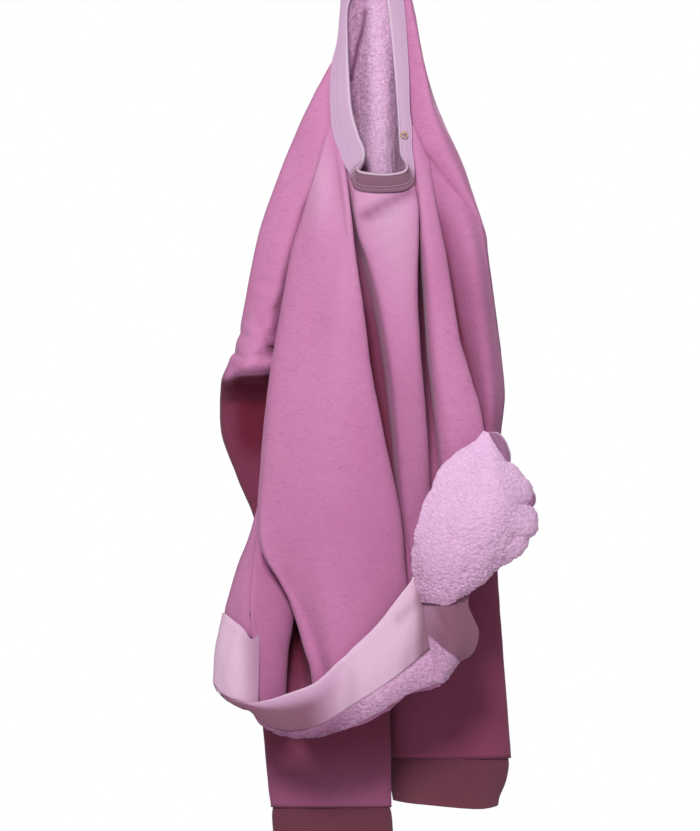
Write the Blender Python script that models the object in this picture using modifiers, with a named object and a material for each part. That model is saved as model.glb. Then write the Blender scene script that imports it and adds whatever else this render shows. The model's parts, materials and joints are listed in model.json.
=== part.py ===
"""Crew-neck sweatshirt hanging by its neck band from a peg, as named cloth panels.

Metres, +Z up. The origin is the peg's seat, inside the top of the neck band. The wearer's
front faces -Y. Each panel is lofted through the crests, valleys and edges of its folds, then
given its cloth thickness outwards.
"""
import bpy
import numpy as np

DROP = 1.018           # peg arch to the lower cuff
SPREAD = 0.352         # widest point, left cuff side to turned-out fleece
DEPTH = 0.186          # front of the turned-up hem to the back of the sleeves
FABRIC = 0.0025        # fleece-backed cloth
BAND = 0.0036          # double rib of the neck band
RIB = 0.0030           # rib of the cuffs and the hem
GAP = 0.0004           # clearance between neighbouring pieces
STITCH = 0.0009        # radius of a raised stitch line
CUFF_RING = 0.0012     # radius of the overlocked ring above a cuff
TAG_LOOP = 0.0034      # radius of the tag fastener's loop
TAG_WIRE = 0.0006      # its wire radius
TAG_PIN = 0.0009       # radius of the pin it hangs on

SX, SY, SZ = SPREAD / 352, DEPTH / 186, DROP / 1018    # hang drawn in mm, scaled to the sizes

# Fold lines, each from its top to its bottom: (x, y, z) in mm at the nominal size.
FRONT = {
    "side_seam": [(-68, 4, -301), (-76, 8, -367), (-88, 8, -455), (-103, 5, -554), (-122, -2, -626),
        (-132, -16, -670), (-136, -27, -711), (-135, -31, -737)],
    "side_fold": [(-68, 1, -304), (-74, 4, -367), (-86, 5, -455), (-98, 3, -554), (-117, -6, -631),
        (-121, -27, -686), (-128, -35, -730), (-130, -37, -774), (-129, -38, -807)],
    "side_fold_edge": [(-67, -2, -304), (-72, 0, -367), (-82, 1, -455), (-92, 0, -554),
        (-112, -4, -631), (-103, -18, -686), (-91, -24, -719), (-88, -26, -763), (-90, -26, -810)],
    "left_gap": [(-66, -6, -301), (-68, -4, -367), (-78, -4, -455), (-86, -4, -554), (-97, 5, -631),
        (-75, 6, -686), (-70, 4, -741), (-66, -2, -796), (-66, -10, -827)],
    "left_edge": [(-70, -13, -277), (-80, -20, -312), (-90, -26, -367), (-105, -30, -455),
        (-114, -30, -554), (-119, -38, -631), (-95, -44, -686), (-73, -48, -730), (-61, -50, -774),
        (-62, -50, -807), (-61, -46, -836)],
    "left_turn": [(-64, -19, -264), (-72, -28, -312), (-79, -36, -367), (-92, -42, -455),
        (-102, -44, -554), (-106, -48, -631), (-81, -54, -686), (-59, -58, -733), (-48, -60, -777),
        (-51, -59, -807), (-48, -54, -839)],
    "broad_fold": [(-47, -22, -242), (-51, -46, -345), (-51, -60, -455), (-51, -68, -565),
        (-51, -72, -653), (-37, -74, -741), (-29, -72, -796), (-24, -64, -832)],
    "broad_fold_edge": [(-30, -23, -217), (-20, -44, -274), (-10, -56, -378), (4, -60, -477),
        (22, -62, -565), (34, -62, -642), (40, -62, -697), (31, -60, -763), (18, -56, -814)],
    "left_valley": [(-20, -34, -240), (-14, -22, -286), (-2, -8, -378), (15, -4, -488), (33, -2, -576),
        (44, -4, -642), (51, -10, -708), (44, -20, -763), (37, -30, -801)],
    "centre_fold_left": [(-8, -42, -252), (2, -44, -312), (18, -48, -400), (31, -50, -488),
        (42, -50, -565), (53, -48, -642), (62, -46, -708), (59, -46, -763), (53, -46, -796)],
    "centre_fold_right": [(43, -42, -251), (50, -42, -312), (56, -42, -378), (67, -42, -466),
        (75, -42, -543), (81, -42, -631), (84, -42, -697), (79, -42, -752), (70, -40, -790)],
    "right_valley": [(52, -36, -242), (57, -14, -285), (65, -6, -367), (75, -4, -444), (84, -4, -521),
        (91, -6, -609), (92, -8, -697), (89, -10, -752), (84, -12, -781)],
    "narrow_fold": [(54, -27, -223), (67, -38, -290), (77, -42, -356), (88, -44, -422),
        (100, -44, -488), (108, -40, -565), (109, -34, -653), (101, -30, -719), (95, -26, -768)],
    "narrow_fold_edge": [(62, -18, -212), (75, -28, -285), (87, -34, -351), (98, -36, -417),
        (112, -36, -483), (121, -30, -565), (121, -24, -642), (110, -20, -708), (103, -18, -752)],
    "side_valley": [(68, -14, -218), (79, -14, -290), (92, -12, -362), (105, -12, -428),
        (116, -14, -488), (125, -14, -565), (128, -12, -631), (117, -10, -684), (111, -10, -711)],
    "side_bulge": [(97, -12, -255), (112, -24, -312), (124, -30, -378), (132, -32, -444),
        (133, -26, -499), (133, -18, -565), (132, -12, -631), (123, -8, -675), (117, -6, -694)],
    "right_side": [(123, -2, -292), (136, 0, -356), (145, 0, -422), (150, 0, -472), (145, 2, -510),
        (139, 4, -576), (139, 4, -631), (132, 4, -664), (123, 4, -684)]}
BACK = {
    "right_back": [(121, 17, -315), (130, 22, -367), (136, 24, -433), (134, 24, -510), (128, 24, -609),
        (125, 24, -653), (117, 24, -691)],
    "right_blade": [(70, 22, -175), (82, 27, -268), (92, 30, -367), (97, 31, -499), (95, 31, -631),
        (97, 30, -715)],
    "right_neck": [(33, 5, -68), (41, 18, -147), (52, 28, -279), (57, 32, -433), (57, 32, -609),
        (55, 31, -739)],
    "centre_back": [(0, 2.6, 13), (4, 6, -37), (11, 10, -103), (15, 14, -224), (13, 28, -367),
        (9, 32, -532), (4, 32, -653), (2, 31, -745)],
    "left_neck": [(-29, 4, -68), (-20, 18, -147), (-28, 28, -279), (-40, 32, -433), (-47, 32, -609),
        (-51, 31, -745)],
    "left_blade": [(-47, 18, -167), (-55, 23, -246), (-72, 28, -389), (-86, 29, -521), (-97, 28, -653),
        (-108, 26, -741)],
    "left_back": [(-67, 18, -282), (-76, 22, -367), (-90, 24, -455), (-106, 22, -554),
        (-119, 16, -620), (-133, 12, -675), (-143, 10, -730)],
    "left_side": [(-68, 10, -299), (-79, 14, -367), (-91, 14, -455), (-110, 10, -554), (-125, 2, -618),
        (-143, -6, -664), (-157, -10, -713)]}
LEFT_UPPER = {
    "outer": [(-37, 2, -106), (-58, 0, -144), (-75, 0, -177), (-91, 0, -216), (-108, 0, -260),
        (-121, 0, -304), (-133, 0, -370), (-143, 0, -420), (-151, 0, -451)],
    "front": [(-38, -1, -117), (-47, -6, -156), (-59, -13, -202), (-77, -14, -257), (-94, -15, -312),
        (-109, -18, -378), (-122, -17, -428), (-133, -9, -460)],
    "front_seam": [(-36, 2, -123), (-37, -3, -158), (-34, -9, -191), (-35, -15, -216),
        (-51, -14, -240), (-70, -3, -275), (-91, -2, -356), (-100, -3, -411), (-110, -2, -453)],
    "underarm": [(-33, 4, -136), (-37, 4, -202), (-53, 4, -263), (-72, 4, -286), (-85, 4, -312),
        (-94, 3, -367), (-102, 4, -417), (-110, 6, -451)],
    "back_seam": [(-30, 7, -114), (-37, 11.5, -169), (-53, 13.1, -241), (-72, 12, -288),
        (-91, 12, -356), (-105, 12, -422), (-119, 12, -457)],
    "back_outer": [(-33, 6, -110), (-51, 11, -156), (-66, 13, -194), (-86, 16, -246), (-101, 16, -301),
        (-117, 15, -367), (-128, 14, -422), (-138, 11, -458)]}
LEFT_LOWER = {
    "outer": [(-150, 53, -425), (-161, 53, -472), (-162, 53, -505), (-157, 53, -525), (-141, 53, -568),
        (-122, 53, -620), (-117, 53, -697), (-117, 53, -807), (-113, 53, -857), (-109, 53, -906),
        (-106, 53, -930)],
    "front_outer": [(-136, 41, -422), (-143, 40, -472), (-143, 40, -521), (-123, 40, -576),
        (-101, 40, -631), (-92, 40, -719), (-91, 40, -807), (-89, 40, -873), (-84, 40, -930)],
    "front_inner": [(-47, 41, -422), (-44, 40, -521), (-25, 40, -620), (-7, 40, -719), (-2, 40, -807),
        (-1, 40, -873), (0, 40, -930)],
    "inner": [(-29, 50, -422), (-24, 50, -521), (0, 50, -620), (20, 50, -719), (22, 50, -807),
        (23, 50, -873), (24, 50, -930)],
    "back_inner": [(-47, 64, -422), (-44, 66, -521), (-25, 67, -620), (-7, 68, -719), (-2, 68, -807),
        (-1, 67, -873), (0, 66, -930)],
    "back_outer": [(-136, 64, -422), (-143, 65, -472), (-143, 66, -521), (-123, 67, -576),
        (-101, 68, -631), (-92, 68, -719), (-91, 68, -807), (-89, 67, -873), (-84, 66, -930)]}
LEFT_CUFF = {
    "outer": [(-105, 53, -934), (-101, 53, -961), (-99, 53, -993)],
    "front_outer": [(-82, 40.5, -934), (-79, 42, -961), (-78, 43, -993)],
    "front_inner": [(-1, 40.5, -934), (0, 42, -961), (1, 43, -993)],
    "inner": [(23, 50, -934), (24, 50, -961), (25, 50, -993)],
    "back_inner": [(-1, 65.5, -934), (0, 64, -961), (1, 63, -993)],
    "back_outer": [(-82, 65.5, -934), (-79, 64, -961), (-78, 63, -993)]}
RIGHT_UPPER = {
    "front_seam": [(43, -2, -48), (47, -5.1, -111), (50, -8.1, -155), (52, -10.1, -178),
        (58, -11, -199), (68, -10, -210), (84, -9, -230), (106, -6, -262), (122, -2, -284)],
    "front": [(48, -6, -55), (62, -12, -117), (72, -16, -164), (87, -17, -202), (103, -16, -239),
        (118, -10, -266), (128, 2, -290)],
    "outer": [(51, 2, -53), (64, 2, -125), (80, 2, -169), (101, 2, -213), (117, 5, -257),
        (127, 14, -288), (131, 26, -315)],
    "back_outer": [(48, 8, -53), (66, 14, -125), (82, 18, -175), (99, 22, -219), (116, 26, -263),
        (125, 31, -297), (125, 34, -315)],
    "back_seam": [(44, 8, -59), (54, 15, -114), (68, 19, -158), (80, 22, -191), (101, 24, -240),
        (117, 28, -279), (114, 34, -315)]}
RIGHT_LOWER = {
    "inner": [(70, 60, -330), (62, 62, -411), (44, 66, -499), (32, 68, -587), (25, 68, -675),
        (24, 68, -785), (26, 68, -876)],
    "front_inner": [(79, 48, -332), (73, 48, -411), (62, 48, -499), (53, 48, -587), (48, 48, -675),
        (48, 48, -785), (53, 48, -876)],
    "front_outer": [(114, 47, -330), (117, 47, -411), (119, 48, -499), (120, 48, -587),
        (121, 48, -675), (123, 48, -785), (130, 48, -876)],
    "outer": [(129, 55, -330), (134, 58, -411), (139, 62, -499), (141, 64, -587), (143, 64, -675),
        (147, 64, -730), (151, 64, -785), (154, 64, -829), (156, 64, -860), (157, 64, -876)],
    "back_outer": [(117, 66, -321), (119, 74, -411), (120, 80, -499), (120, 81, -587), (121, 82, -675),
        (123, 82, -785), (130, 81, -876)],
    "back_inner": [(84, 70, -323), (75, 76, -411), (64, 80, -499), (53, 81, -587), (48, 82, -675),
        (48, 82, -785), (53, 81, -876)]}
RIGHT_CUFF = {
    "inner": [(28, 68, -880), (29, 68, -901), (31, 68, -924)],
    "front_inner": [(54, 48.5, -880), (55, 49, -901), (57, 50, -927)],
    "front_outer": [(129, 48.5, -880), (125, 49, -906), (121, 50, -933)],
    "outer": [(156, 64, -880), (151, 64, -901), (144, 64, -917), (143, 64, -930)],
    "back_outer": [(129, 80.5, -880), (125, 80, -906), (121, 79, -933)],
    "back_inner": [(54, 80.5, -880), (55, 80, -901), (57, 79, -927)]}
FLAP = {
    "fold_in": [(128, -31, -513), (117, -45, -528), (103, -55, -544), (84, -62, -565), (68, -70, -593),
        (56, -74, -626), (48, -76, -656), (46, -76, -686)],
    "left_crest": [(131, -33, -515), (113, -76, -559), (96, -88, -593), (81, -92, -631),
        (70, -92, -667), (66, -88, -697)],
    "middle": [(134, -33, -516), (133, -84, -560), (123, -98, -598), (110, -100, -642),
        (96, -98, -678), (86, -90, -704)],
    "right_crest": [(140, -31, -516), (152, -74, -559), (154, -92, -604), (143, -94, -642),
        (121, -90, -681), (101, -84, -705)],
    "right_edge": [(145, -26, -518), (166, -54, -568), (179, -64, -595), (179, -68, -629),
        (164, -70, -657), (134, -74, -683), (108, -76, -704)],
    "turned_under": [(142, -18, -521), (154, -36, -572), (165, -44, -601), (163, -48, -631),
        (147, -52, -658), (125, -56, -682), (106, -62, -701)]}
HEM_RIGHT = {
    "left": [(47, -75, -688), (54, -77, -714), (63, -78, -737), (67, -76, -758), (76, -72, -785)],
    "middle": [(75, -88, -702), (81, -89, -722), (88, -87, -747), (88, -82, -772), (82, -74, -793)],
    "right": [(108, -76, -708), (111, -77, -722), (118, -76, -741), (111, -72, -766), (89, -68, -795)]}
HEM_FRONT = {
    "rim": [(-141, -38, -809), (-117, -46, -810), (-86, -66, -802), (-53, -80, -788), (-20, -84, -758),
        (8, -84, -726), (30, -82, -698), (47, -80, -664)],
    "middle": [(-141, -41, -812), (-114, -50, -821), (-87, -71, -822), (-53, -85, -813),
        (-18, -90, -787), (12, -91, -760), (37, -90, -735), (57, -88, -711)],
    "seam": [(-140, -42, -815), (-110, -50, -832), (-88, -69, -838), (-54, -82, -833),
        (-15, -88, -807), (15, -89, -787), (42, -88, -766), (64, -86, -748)],
    "fold": [(-138, -40, -818), (-106, -46, -837), (-86, -60, -847), (-57, -72, -850),
        (-22, -77, -842), (13, -78, -823), (46, -76, -807), (73, -72, -796)],
    "tuck": [(-134, -36, -816), (-103, -36, -827), (-84, -44, -842), (-59, -52, -845),
        (-24, -66, -837), (15, -60, -820), (46, -52, -804), (73, -48, -794)]}
HEM_BACK = {
    "right": [(96, 30, -718), (92, 30, -747), (88, 29, -774)],
    "right_neck": [(55, 31, -741), (55, 31, -772), (55, 30, -799)],
    "centre": [(2, 31, -746), (2, 31, -777), (2, 30, -805)],
    "left_neck": [(-51, 31, -746), (-51, 31, -777), (-51, 30, -805)],
    "left_blade": [(-108, 26, -743), (-110, 26, -772), (-110, 25, -803)],
    "left_back": [(-143, 10, -732), (-148, 8, -766), (-150, 7, -799)],
    "side": [(-157, -10, -714), (-165, -13, -758), (-167, -14, -794)],
    "front_side": [(-145, -24, -728), (-153, -30, -769), (-156, -30, -804)],
    "front_end": [(-138, -30, -739), (-139, -33, -772), (-140, -33, -805)]}
NECK = {
    "seam_edge": [(0, 0, 24), (-20, 0, 13), (-29, -1, -15), (-31, -2, -46), (-34, -4, -81),
        (-41, -6, -111), (-42, -12, -155), (-38, -18, -185), (-30, -26, -210), (-20, -34, -231),
        (-12, -42, -246), (3, -45, -250), (22, -45, -250), (40, -43, -248), (50, -38, -240),
        (51, -30, -219), (48, -24, -199), (48, -19, -177), (46, -15, -155), (45, -10, -111),
        (41, -5, -46), (34, -2, -15), (21, 0, 13)],
    "free_edge": [(0, 0, 0), (-9, 0, -4), (-14, -1, -21), (-22, -3, -46), (-22, -6, -81),
        (-21, -9, -111), (-18, -14, -155), (-10, -20, -185), (-3, -26, -202), (-4, -33, -216),
        (-10, -42, -224), (3, -46, -228), (22, -46, -229), (38, -43, -226), (41, -36, -219),
        (35, -29, -208), (34, -25, -196), (33, -20, -175), (32, -16, -155), (29, -11, -111),
        (22, -6, -46), (15, -2, -21), (9, 0, -4)]}


COLOURS = {
    "velour": (0.60, 0.27, 0.46), "sleeve_velour": (0.50, 0.22, 0.37),
    "fleece": (0.74, 0.46, 0.69), "neck_rib": (0.58, 0.39, 0.56),
    "hem_rib": (0.62, 0.40, 0.57), "thread": (0.66, 0.44, 0.60),
    "tag_plastic": (0.63, 0.46, 0.22)}


def clear_scene():
    for old in list(bpy.data.objects):
        bpy.data.objects.remove(old, do_unlink=True)


def collection():
    made = bpy.data.collections.new("hung_sweatshirt")
    bpy.context.scene.collection.children.link(made)
    return made


PARTS = {}


def material(slot, name):
    """Own material for the node, in its slot's colour."""
    made = bpy.data.materials.new(name)
    made.use_nodes = True
    shader = made.node_tree.nodes["Principled BSDF"]
    shader.inputs["Base Color"].default_value = COLOURS[slot] + (1.0,)
    shader.inputs["Roughness"].default_value = 0.35 if slot == "tag_plastic" else 0.9
    return made


def put(name, data, slot):
    made = bpy.data.objects.new(name, data)
    data.materials.append(material(slot, name))
    GROUP.objects.link(made)
    PARTS[name] = made
    return made


def scaled(line):
    return np.array(line, float) * (SX, SY, SZ)


def through(points, steps, closed=False):
    """Catmull-Rom through the points, with `steps` pieces in each span."""
    points = np.asarray(points, float)
    if closed:
        padded = np.vstack([points[-1:], points, points[:2]])
        spans = len(points)
    else:
        padded = np.vstack([2 * points[:1] - points[1:2], points, 2 * points[-1:] - points[-2:-1]])
        spans = len(points) - 1
    out = []
    for span in range(spans):
        a, b, c, d = padded[span:span + 4]
        for step in range(steps):
            t = step / steps
            out.append(0.5 * (2 * b + (c - a) * t + (2 * a - 5 * b + 4 * c - d) * t * t
                              + (3 * b - a - 3 * c + d) * t ** 3))
    if not closed:
        out.append(points[-1])
    return np.array(out)


def evenly(line, count):
    """The smooth line through a fold's points, as `count` points evenly along its length."""
    fine = through(scaled(line), 12)
    run = np.concatenate([[0], np.cumsum(np.linalg.norm(np.diff(fine, axis=0), axis=1))])
    at = np.linspace(0, run[-1], count)
    return np.stack([np.interp(at, run, fine[:, k]) for k in range(3)], axis=1)


def loft(lines, rows, steps, closed=False):
    """Grid [row][column] through the fold lines, with `steps` columns between neighbours."""
    ribs = np.array([evenly(line, rows) for line in lines])
    return np.array([through(ribs[:, row], steps, closed) for row in range(rows)])


def pulled(edge, inward, distance):
    """The edge column moved `distance` towards the next column of its own panel."""
    way = inward - edge
    return edge + way / np.linalg.norm(way, axis=1)[:, None] * distance


def cloth(name, grid, slot, thickness=FABRIC, offset=1.0, round_x=False, round_z=False, leave=None):
    """One panel: the grid as faces, thickened along its outward side."""
    rows, columns = grid.shape[:2]
    verts = [tuple(point) for row in grid for point in row]
    faces = []
    for r in range(rows if round_z else rows - 1):
        for c in range(columns if round_x else columns - 1):
            if leave and leave(r, c):
                continue
            below, right = (r + 1) % rows, (c + 1) % columns
            faces.append((r * columns + c, below * columns + c,
                          below * columns + right, r * columns + right))
    used = sorted({index for face in faces for index in face})
    number = {index: place for place, index in enumerate(used)}
    mesh = bpy.data.meshes.new(name)
    mesh.from_pydata([verts[index] for index in used], [],
                     [tuple(number[index] for index in face) for face in faces])
    made = put(name, mesh, slot)
    solidify = made.modifiers.new("thickness", "SOLIDIFY")
    solidify.thickness = thickness
    solidify.offset = offset
    solidify.use_even_offset = False
    return made


def cord(name, points, radius, slot, closed=False):
    """A raised stitch line or ring: a round cord along the points."""
    curve = bpy.data.curves.new(name, "CURVE")
    curve.dimensions = "3D"
    curve.bevel_depth = radius
    curve.bevel_resolution = 1
    curve.use_fill_caps = True
    curve.render_resolution_u = 0
    spline = curve.splines.new("POLY")
    spline.points.add(len(points) - 1)
    for point, place in zip(spline.points, points):
        point.co = (*place, 1.0)
    spline.use_cyclic_u = closed
    return put(name, curve, slot)


def outward(grid, row, column):
    """Unit outward direction of the panel at a grid point."""
    rows, columns = grid.shape[:2]
    down = grid[min(row + 1, rows - 1), column] - grid[max(row - 1, 0), column]
    right = grid[row, min(column + 1, columns - 1)] - grid[row, max(column - 1, 0)]
    way = np.cross(down, right)
    return way / np.linalg.norm(way)


def stitch_on(name, grid, first, last, share, radius=STITCH, base=FABRIC, row=0):
    """A stitch line on a panel's face, `share` of a row in from its cut edge."""
    points = []
    for column in range(first, last + 1):
        near, far = grid[row, column], grid[row + 1, column]
        place = near + (far - near) * share
        points.append(place + outward(grid, row, column) * (base + radius + GAP))
    return cord(name, points, radius, "thread")


clear_scene()
GROUP = collection()

# Body: the front panel wraps round to the left side seam, the back panel from seam to seam.
ROWS = 15
front = loft(list(FRONT.values()), ROWS, 2)
cloth("front_panel", front, "velour")

back_lines = [FRONT["right_side"]] + list(BACK.values()) + [FRONT["side_seam"]]
back = loft(back_lines, ROWS, 2)
back[:, 0] = pulled(back[:, 0], back[:, 1], GAP * 2)
back[:, -1] = pulled(back[:, -1], back[:, -2], GAP * 15)
cloth("back_panel", back, "velour")

stitch_on("raglan_stitch_front_left", front, 9, 14, 0.10)
stitch_on("raglan_stitch_front_right", front, 26, 31, 0.10)
stitch_on("raglan_stitch_back_right", back, 3, 5, 0.10)
stitch_on("raglan_stitch_back_left", back, 11, 13, 0.10)

# Sleeves: open to the body above the underarm, closed tubes below it.
left_upper = loft(list(LEFT_UPPER.values()), 13, 2, closed=True)
cloth("left_sleeve_upper", left_upper, "velour", round_x=True,
      leave=lambda r, c: r < 6 and 4 <= c < 8)
right_upper = loft(list(RIGHT_UPPER.values()), 11, 2)
cloth("right_sleeve_upper", right_upper, "velour")
left_lower = loft(list(LEFT_LOWER.values()), 12, 2, closed=True)
cloth("left_sleeve_lower", left_lower, "sleeve_velour", round_x=True)
right_lower = loft(list(RIGHT_LOWER.values()), 12, 2, closed=True)
cloth("right_sleeve_lower", right_lower, "sleeve_velour", round_x=True)
for side, tube, lines in (("left", left_lower, LEFT_CUFF), ("right", right_lower, RIGHT_CUFF)):
    cuff = loft(list(lines.values()), 4, 2, closed=True)
    last = len(tube) - 1
    drop = CUFF_RING * 2 + GAP * 2
    cuff[0, :] = tube[last] - (0, 0, drop)
    cloth(side + "_cuff", cuff, "sleeve_velour", thickness=RIB, round_x=True)
    count = tube.shape[1]
    ring = []
    for c in range(count):
        along = tube[last, (c + 1) % count] - tube[last, c - 1]
        out = np.cross((0, 0, -1), along)
        out = out / np.linalg.norm(out)
        ring.append(tube[last, c] + out * FABRIC / 2 - np.array((0, 0, drop / 2)))
    cord(side + "_cuff_ring", ring, CUFF_RING, "thread", closed=True)

# Turned-out fleece of the back panel, and the hem band in its three visible runs.
flap = loft(list(FLAP.values()), 10, 2)
cloth("back_panel_turned_out", flap, "fleece")
hem_right = loft(list(HEM_RIGHT.values()), 5, 3)
cloth("hem_band_right", hem_right, "hem_rib", thickness=RIB)
hem_back = loft(list(HEM_BACK.values()), 4, 2)
cloth("hem_band_back", hem_back, "hem_rib", thickness=RIB)
ribs = np.array([evenly(line, 17) for line in HEM_FRONT.values()])
hem_front = np.array([through(ribs[:, c], 2) for c in range(17)]).transpose(1, 0, 2)
cloth("hem_band_turned_up", hem_front, "hem_rib", thickness=RIB)

# Neck band: one ring of double rib from its seam to its free edge, slightly domed.
seam, free = (through(scaled(line), 3, closed=True) for line in NECK.values())
domed = (seam + free) / 2 - (0, 0.0012, 0)
neck = np.stack([seam, (seam + domed) / 2, domed, (domed + free) / 2, free], axis=0)
cloth("neck_band", neck, "neck_rib", thickness=BAND, offset=0.0, round_x=True)
for name, share in (("neck_stitch_outer", 0.6), ("neck_stitch_inner", 2.9)):
    strand = int(share)
    path = neck[strand] + (neck[strand + 1] - neck[strand]) * (share - strand)
    line = []
    for k in range(len(path)):
        along = path[(k + 1) % len(path)] - path[k - 1]
        out = np.cross(neck[4, k] - neck[0, k], along)
        out = out / np.linalg.norm(out) * (-1 if out[1] > 0 else 1)
        line.append(path[k] + out * (BAND / 2 + STITCH * 0.6 + GAP * 2))
    cord(name, line, STITCH * 0.6, "thread", closed=True)

# Tag fastener: a small loop hanging on a headed pin through the neck band.
PIN_AT = scaled((40, -22.4, -184))
PIN_LENGTH = 0.0062


def primitive(name, slot):
    made = bpy.context.object
    made.name = made.data.name = name
    for home in list(made.users_collection):
        home.objects.unlink(made)
    GROUP.objects.link(made)
    made.data.materials.append(material(slot, name))
    PARTS[name] = made
    return made


bpy.ops.mesh.primitive_cylinder_add(
    vertices=12, radius=TAG_PIN, depth=PIN_LENGTH, rotation=(np.pi / 2, 0, 0),
    location=tuple(PIN_AT - (0, BAND / 2 + GAP + PIN_LENGTH / 2, 0)))
primitive("tag_pin", "tag_plastic")
hang = TAG_LOOP - TAG_WIRE - TAG_PIN - GAP
bpy.ops.mesh.primitive_torus_add(
    major_segments=20, minor_segments=8, major_radius=TAG_LOOP, minor_radius=TAG_WIRE,
    rotation=(np.pi / 2, 0, 0),
    location=tuple(PIN_AT - (0, BAND / 2 + GAP + PIN_LENGTH * 0.55, hang)))
primitive("tag_loop", "tag_plastic")
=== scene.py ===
"""Looks of the hung sweatshirt: the cloth of its panels, bands, sleeves and seams.

Metres, +Z up, in the frame's own axes. The wearer's front faces -Y and the origin is the peg's
seat. Every cloth is lofted finely through its fold lines, wrinkled, and given its two sides.
"""
import json
import math

import bpy
import numpy as np
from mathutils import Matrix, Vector

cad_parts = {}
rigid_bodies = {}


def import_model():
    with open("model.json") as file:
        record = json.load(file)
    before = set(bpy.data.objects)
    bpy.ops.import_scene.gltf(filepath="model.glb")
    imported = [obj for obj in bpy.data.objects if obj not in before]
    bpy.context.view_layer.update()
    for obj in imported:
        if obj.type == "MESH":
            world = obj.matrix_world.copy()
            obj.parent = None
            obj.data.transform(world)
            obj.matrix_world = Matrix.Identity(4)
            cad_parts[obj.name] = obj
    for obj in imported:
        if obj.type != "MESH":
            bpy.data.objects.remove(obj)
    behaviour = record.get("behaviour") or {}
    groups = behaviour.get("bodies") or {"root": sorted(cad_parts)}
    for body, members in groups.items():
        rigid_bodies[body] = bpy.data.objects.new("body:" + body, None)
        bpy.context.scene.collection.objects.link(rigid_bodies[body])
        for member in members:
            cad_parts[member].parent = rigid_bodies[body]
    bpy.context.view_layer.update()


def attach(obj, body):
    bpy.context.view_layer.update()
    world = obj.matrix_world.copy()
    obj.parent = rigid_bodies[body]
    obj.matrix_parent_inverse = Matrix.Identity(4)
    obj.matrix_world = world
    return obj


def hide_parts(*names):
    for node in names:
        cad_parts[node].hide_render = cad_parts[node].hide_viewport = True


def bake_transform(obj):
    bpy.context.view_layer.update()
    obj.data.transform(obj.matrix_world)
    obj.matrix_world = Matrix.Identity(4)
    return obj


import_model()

MM = 0.001
FABRIC = 0.0025                          # thickness of the fleece-backed cloth
RIB = 0.0030                             # thickness of the hem's and the cuffs' rib
NECK_HALF = 0.0017                       # half the thickness of the neck band
NECK_GROOVES = (0.14, 0.34, 0.80)        # shares of its width: two sewn rows, one roll line
RIDGE_X = 0.014                          # middle of the fleece ridge seen in the neck opening
LINE_STEPS = 14                          # points laid in each span of a fold line
STITCH_RADIUS = 0.36                     # mm
STITCH_SINK = 0.25                       # mm that each lies in the cloth
STITCH_GAP = 0.9                         # mm
STITCH_SIDES = 6
# One stitch from end to end: place along it, thickness, and lift, as shares.
STITCH = ((-0.5, 0.25, -0.9), (-0.36, 0.8, -0.1), (-0.12, 1.0, 0.15), (0.12, 1.0, 0.15),
          (0.36, 0.8, -0.1), (0.5, 0.25, -0.9))
FLOOR_Z = -1.20
FLOOR_RADIUS = 1.1
CAMERA_AWAY = 6.0
CAMERA_STAND = -0.03                     # the plane of the front folds, which it is measured from
SENSOR = 36                              # mm
FRAME_TALL = 0.9141                      # metres seen by that sensor at that distance
FRAME_CENTRE = (-0.0198, -0.4945)        # x and z
AMBIENT = 0.22
# Each lamp: name, place, target, size, watts and colour.
LAMPS = [
    ("key", (-0.45, -2.9, 1.25), (0.0, 0.0, -0.42), 0.9, 92, (1.0, 0.98, 0.98)),
    ("fill", (1.6, -2.4, 0.4), (0.0, 0.0, -0.45), 1.6, 8, (1.0, 0.96, 1.0)),
    ("back", (0.6, 2.6, 0.8), (0.0, 0.0, -0.45), 1.6, 60, (1.0, 1.0, 1.0))]

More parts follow.
